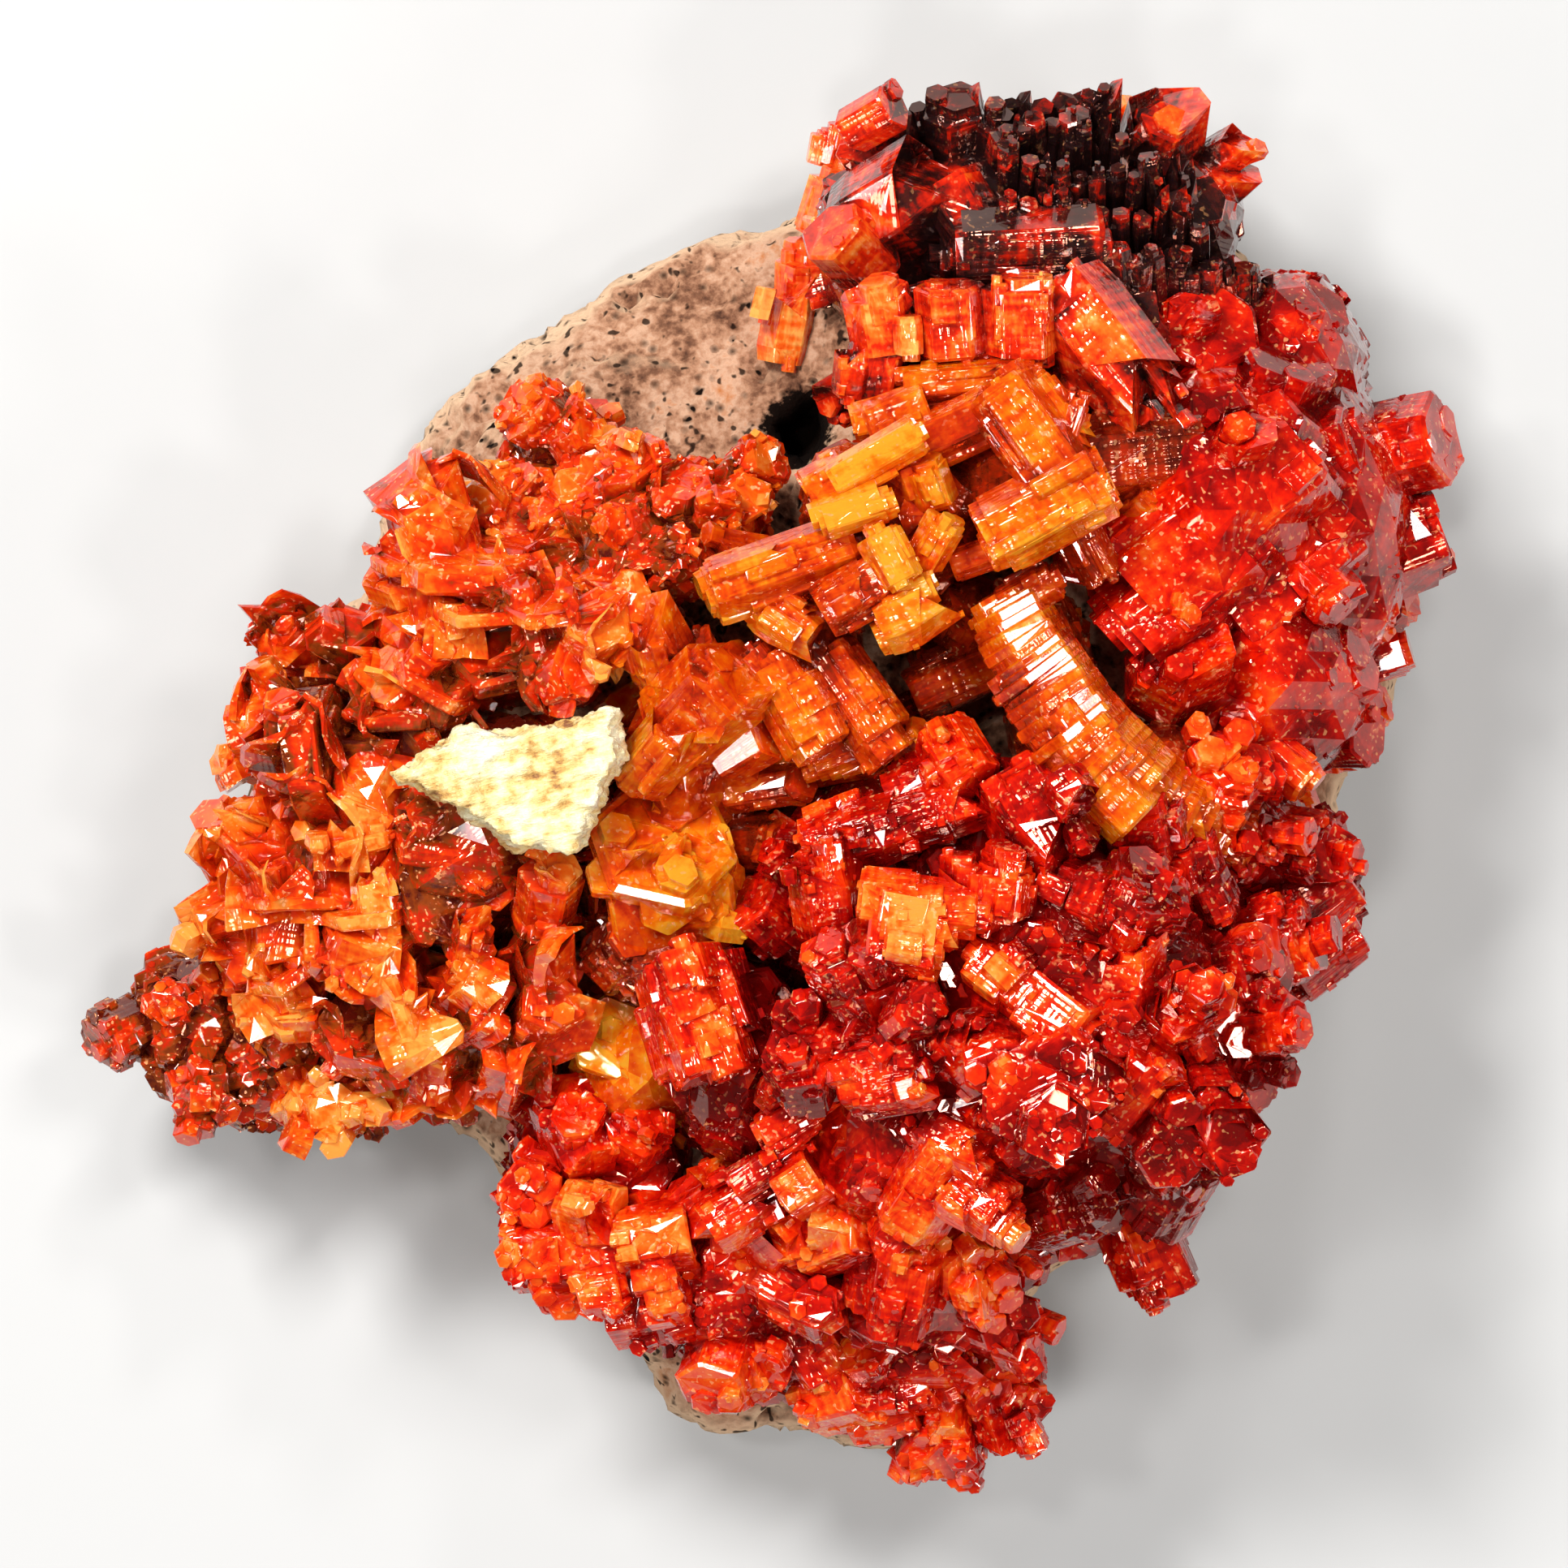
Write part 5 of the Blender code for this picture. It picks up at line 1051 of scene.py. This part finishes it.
left_lumps = [
    lump(-9.4, -1.0, 9.0, 5.0, 3.8, 5.0), lump(-13.4, -2.6, 7.4, 3.4, 4.4, 4.6),
    lump(-10.6, -7.2, 6.8, 4.2, 2.8, 4.4), lump(-9.2, 4.6, 7.8, 4.4, 2.8, 4.6),
    dict(lump(-14.4, 3.0, 5.6, 1.9, 2.0, 3.8), tint=0.76),
]
left_blades = left_lumps + blocks(
    (-9.6, 7.2, 11.2, 92, 22, 0.9, 5.0, 0.7), (-11.6, 6.6, 10.4, 110, 30, 0.8, 2.6, 0.8),
    (-6.8, 6.2, 13.0, 96, 28, 0.5, 4.6, 0.6), (-8.9, 5.5, 12.4, 92, 12, 0.4, 3.6, 0.85),
    (-8.8, 4.3, 12.0, 100, 55, 0.8, 3.0, 0.22), (-7.4, 4.6, 12.6, 20, 20, 0.5, 2.6, 0.7),
    (-5.9, 4.8, 14.0, 60, 60, 1.8, 2.0, 0.85), (-6.6, 3.5, 13.8, 30, 50, 1.4, 1.8, 0.5),
    (-10.9, 5.0, 11.6, 175, 20, 0.7, 2.8, 0.8), (-12.0, 3.4, 11.0, 130, 35, 0.7, 2.6, 0.85),
    (-10.6, 3.4, 11.8, 60, 30, 0.5, 2.8, 0.6), (-12.0, 2.3, 11.4, 92, 15, 0.5, 2.8, 0.4),
    (-14.3, 1.0, 11.2, 5, 15, 1.3, 3.8, 0.42), (-15.6, 1.6, 9.6, 10, 20, 0.8, 3.2, 0.7),
    (-15.3, 4.3, 8.0, 140, 50, 2.0, 1.5, 0.7), (-13.8, 4.3, 8.8, 80, 50, 2.2, 1.8, 0.45),
    (-16.0, -1.5, 9.4, 100, 50, 0.9, 2.8, 0.85), (-16.9, -1.8, 8.4, 170, 30, 0.7, 2.8, 0.85),
    (-14.9, -3.1, 10.4, 95, 12, 0.5, 4.0, 0.75), (-16.6, -4.4, 8.6, 205, 12, 0.5, 3.0, 0.85),
    (-14.3, -4.5, 10.4, 8, 12, 0.5, 2.8, 0.7), (-15.3, -5.6, 9.4, 120, 20, 0.5, 2.6, 0.8),
    (-12.8, -4.8, 11.4, 70, 40, 1.8, 2.4, 0.75), (-12.8, -3.8, 11.8, 95, 15, 0.5, 2.6, 0.9),
    (-15.2, -6.8, 8.8, 100, 50, 1.4, 2.0, 0.9), (-12.9, -7.6, 9.6, 80, 60, 1.6, 2.6, 0.35),
    (-11.4, -6.6, 10.8, 20, 15, 0.5, 3.4, 0.8), (-13.2, -9.2, 6.6, 95, 20, 1.0, 4.6, 0.8),
    (-10.3, -3.2, 11.8, 20, 68, 0.8, 3.2, 0.22), (-12.9, -2.8, 11.4, 60, 60, 0.8, 2.6, 0.4),
    (-9.6, -4.5, 12.4, 75, 40, 1.4, 1.1, 0.6), (-7.3, -3.4, 12.6, 80, 55, 3.4, 1.6, 0.6),
    (-7.4, -5.4, 12.0, 80, 60, 2.6, 1.6, 0.58), (-7.4, -6.9, 11.4, 60, 70, 2.4, 1.8, 0.66),
    (-13.0, -1.4, 11.8, 100, 20, 0.5, 3.0, 0.8), (-12.4, -0.2, 11.6, 60, 25, 0.5, 3.2, 0.35),
    (-10.6, -1.4, 12.2, 80, 40, 0.8, 2.8, 0.35), (-9.4, -6.4, 10.8, 150, 25, 0.5, 3.0, 0.6),
    (-8.6, -8.4, 10.0, 70, 60, 2.6, 2.2), (-11.0, -8.6, 9.4, 80, 50, 2.6, 1.6),
)
left_blades += edge([
    (-17.8, -2.8, 6.0), (-17.6, -1.0, 6.6), (-17.9, 0.9, 5.4), (-16.8, 2.8, 5.8),
    (-16.0, 4.6, 6.0), (-12.9, 7.6, 8.2), (-11.7, -10.4, 4.8), (-13.4, -10.4, 4.6),
], 2.2, 1.7, 76, 0.7)
EMBER = [(0.0, (0.08, 0.005, 0.002)), (0.2, (0.25, 0.04, 0.004)), (0.36, (0.52, 0.014, 0.002)),
         (0.56, (0.74, 0.04, 0.002)), (0.8, (0.84, 0.14, 0.006)), (1.0, (0.90, 0.32, 0.05))]
ember = vanadinite("ember_vanadinite", EMBER, 0.3, 0.2, 0.8)
grow("left_blade_crystals", left_blades, (0.3, 0.72), 3, {
    "Spacing": 1.15, "Width": 2.4, "Slenderness": 1.0, "Lean": 0.75, "Growth": (-0.1, 0.2, 0.9),
    "Colony": 1.6, "Cover": 0.64, "Dusting": 0.34, "Sink": 0.2, "Disorder": 1.6, "Fineness": 0.42,
    "Tint spread": 0.24, "Seed": 71, "First form": BLADE, "Last form": SCROLL, "Small form": CHIP,
    "Warp": 0.8,
}, ember)


# ---- Left wing: a low tongue of deep red crystals that reaches out to the left.
# It is thin, and follows the foot of the rock.

wing_lumps = [
    lump(-18.1, -7.4, 4.4, 2.7, 2.9, 3.0), lump(-16.2, -9.0, 4.2, 2.9, 1.9, 2.8),
    lump(-15.6, -6.8, 5.4, 2.4, 2.6, 3.4),
]
left_wing = wing_lumps + edge([
    (-14.9, -10.9, 4.0), (-16.9, -10.6, 4.4), (-18.9, -9.5, 5.0), (-20.7, -8.3, 5.4), (-20.6, -6.6, 5.8),
    (-18.8, -5.4, 6.4), (-17.8, -4.1, 6.8),
], 2.5, 1.9, 83) + coat(wing_lumps[0], 5, 1.5, 84)
grow("left_wing_crystals", left_wing, (0.25, 0.6), 3, {
    "Spacing": 1.1, "Width": 1.5, "Slenderness": 1.2, "Growth": (-0.4, -0.3, 0.8), "Pull": 0.4,
    "Colony": 2.0, "Cover": 0.6, "Sink": 0.34, "Disorder": 0.8, "Seed": 81,
}, ember)


# ---- Lower left crust: the slope from the barite down to the foot, deep red, with two long thin plates.
# It turns under at its lower edge, where the bare rock shows.

foot_lumps = [
    lump(-5.6, -12.0, 6.2, 3.6, 3.6, 4.0), lump(-1.8, -14.8, 6.8, 3.8, 3.4, 4.2),
    lump(-0.6, -17.2, 5.2, 3.2, 2.2, 3.2), lump(4.0, -15.6, 7.4, 3.8, 2.6, 4.8),
]
lower_left_crust = foot_lumps + blocks(
    (-7.0, -12.6, 8.4, 200, 70, 2.2, 3.0), (-5.2, -14.3, 8.8, 10, 12, 1.2, 4.4),
    (-3.6, -14.8, 9.4, 14, 12, 1.1, 4.2), (-6.5, -10.4, 9.4, 100, 50, 2.6, 2.2),
    (-4.8, -10.8, 9.8, 60, 55, 2.4, 2.0), (-2.2, -12.6, 10.6, 30, 40, 2.6, 2.0),
    (3.6, -14.9, 11.8, 80, 30, 3.0, 2.4), (1.6, -13.6, 11.8, 20, 40, 2.6, 2.2),
    (0.2, -15.4, 10.4, -30, 20, 2.8, 1.8), (5.8, -14.8, 11.6, -50, 40, 2.4, 2.0),
    (6.4, -16.4, 9.6, -20, 30, 2.6, 2.0), (-1.2, -17.4, 8.0, 250, 40, 2.4, 2.6),
)
lower_left_crust += coat(foot_lumps[1], 3, 2.2, 95) + edge([
    (-5.0, -17.0, 4.6), (-7.0, -15.5, 4.6), (-8.4, -13.6, 4.8), (-9.4, -11.2, 5.2),
    (7.2, -16.4, 6.4), (-3.5, -18.1, 4.6),
], 2.6, 2.1, 96)
grow("lower_left_crystals", lower_left_crust, (0.25, 0.66), 5, {
    "Spacing": 1.2, "Width": 1.8, "Growth": (-0.2, -0.4, 0.8), "Pull": 0.4, "Cover": 0.55, "Sink": 0.36,
    "Disorder": 0.7, "Fineness": 0.46, "Tint spread": 0.14, "Seed": 91,
}, deep_red)


# ---- Bottom tip: a small red knot at the very foot of the specimen.
# It overhangs the rock a little, and has the same blocky crystals as the main druse.

tip_lumps = [
    lump(4.4, -19.0, 4.4, 2.8, 1.9, 3.2), lump(6.2, -19.0, 4.4, 1.6, 1.6, 3.0),
]
bottom_tip = tip_lumps + blocks(
    (2.9, -18.6, 7.6, 5, 10, 2.6, 1.8), (4.6, -20.0, 6.4, 270, 40, 2.0, 2.2),
    (3.8, -17.8, 8.4, 0, 10, 2.8, 1.4), (6.4, -18.9, 7.0, -40, 50, 2.4, 2.6),
    (5.0, -18.4, 7.8, 60, 40, 2.0, 1.5),
) + edge([
    (7.3, -18.7, 4.8), (7.0, -20.2, 4.2), (5.4, -21.3, 3.8), (3.8, -21.6, 3.8),
    (2.3, -21.2, 4.0), (1.6, -19.9, 4.4),
], 2.3, 1.9, 103)
grow("bottom_tip_crystals", bottom_tip, (0.2, 0.65), 3, {
    "Spacing": 1.1, "Width": 1.6, "Growth": (0.2, -0.5, 0.8), "Pull": 0.4, "Colony": 2.0, "Cover": 0.6,
    "Sink": 0.34, "Disorder": 0.7, "Seed": 101,
}, deep_red)


# ---- Shelf crystals: small orange crystals strewn over the bare rock shelf at the upper left,
# thinner and more scattered towards the rim.

shelf_lumps = [
    lump(-3.2, 8.4, 9.6, 3.2, 2.0, 3.6), lump(-7.2, 11.0, 7.6, 2.0, 1.8, 2.2),
]
shelf_crystals = shelf_lumps + blocks(
    (-7.9, 8.6, 9.6, 80, 50, 0.9, 3.4), (-7.6, 11.4, 9.0, 150, 40, 1.8, 1.8),
    (-6.4, 10.8, 9.6, 30, 50, 1.4, 1.5), (-4.6, 9.6, 11.8, 120, 40, 1.8, 1.6),
    (-3.2, 9.0, 12.8, 60, 60, 1.6, 1.7), (-2.0, 8.2, 13.0, -20, 50, 1.8, 1.6),
    (-4.6, 8.0, 12.6, 200, 40, 1.8, 1.6), (-3.0, 7.4, 13.2, 240, 50, 1.8, 1.5),
    (-1.0, 9.6, 12.0, 20, 30, 1.8, 1.4), (-5.9, 9.2, 10.6, 100, 50, 0.8, 2.6),
) + coat(shelf_lumps[0], 4, 1.5, 113)
grow("shelf_crystals", shelf_crystals, (0.4, 0.75), 3, {
    "Spacing": 1.0, "Width": 1.4, "Slenderness": 0.8, "Lean": 0.9, "Growth": (-0.2, 0.4, 0.8), "Pull": 0.3,
    "Colony": 1.8, "Cover": 0.7, "Dusting": 0.7, "Sink": 0.25, "Disorder": 1.2, "Tint spread": 0.2,
    "Seed": 111, "First form": PRISM, "Last form": SLAB, "Small form": CHIP, "Warp": 0.6,
}, ember)
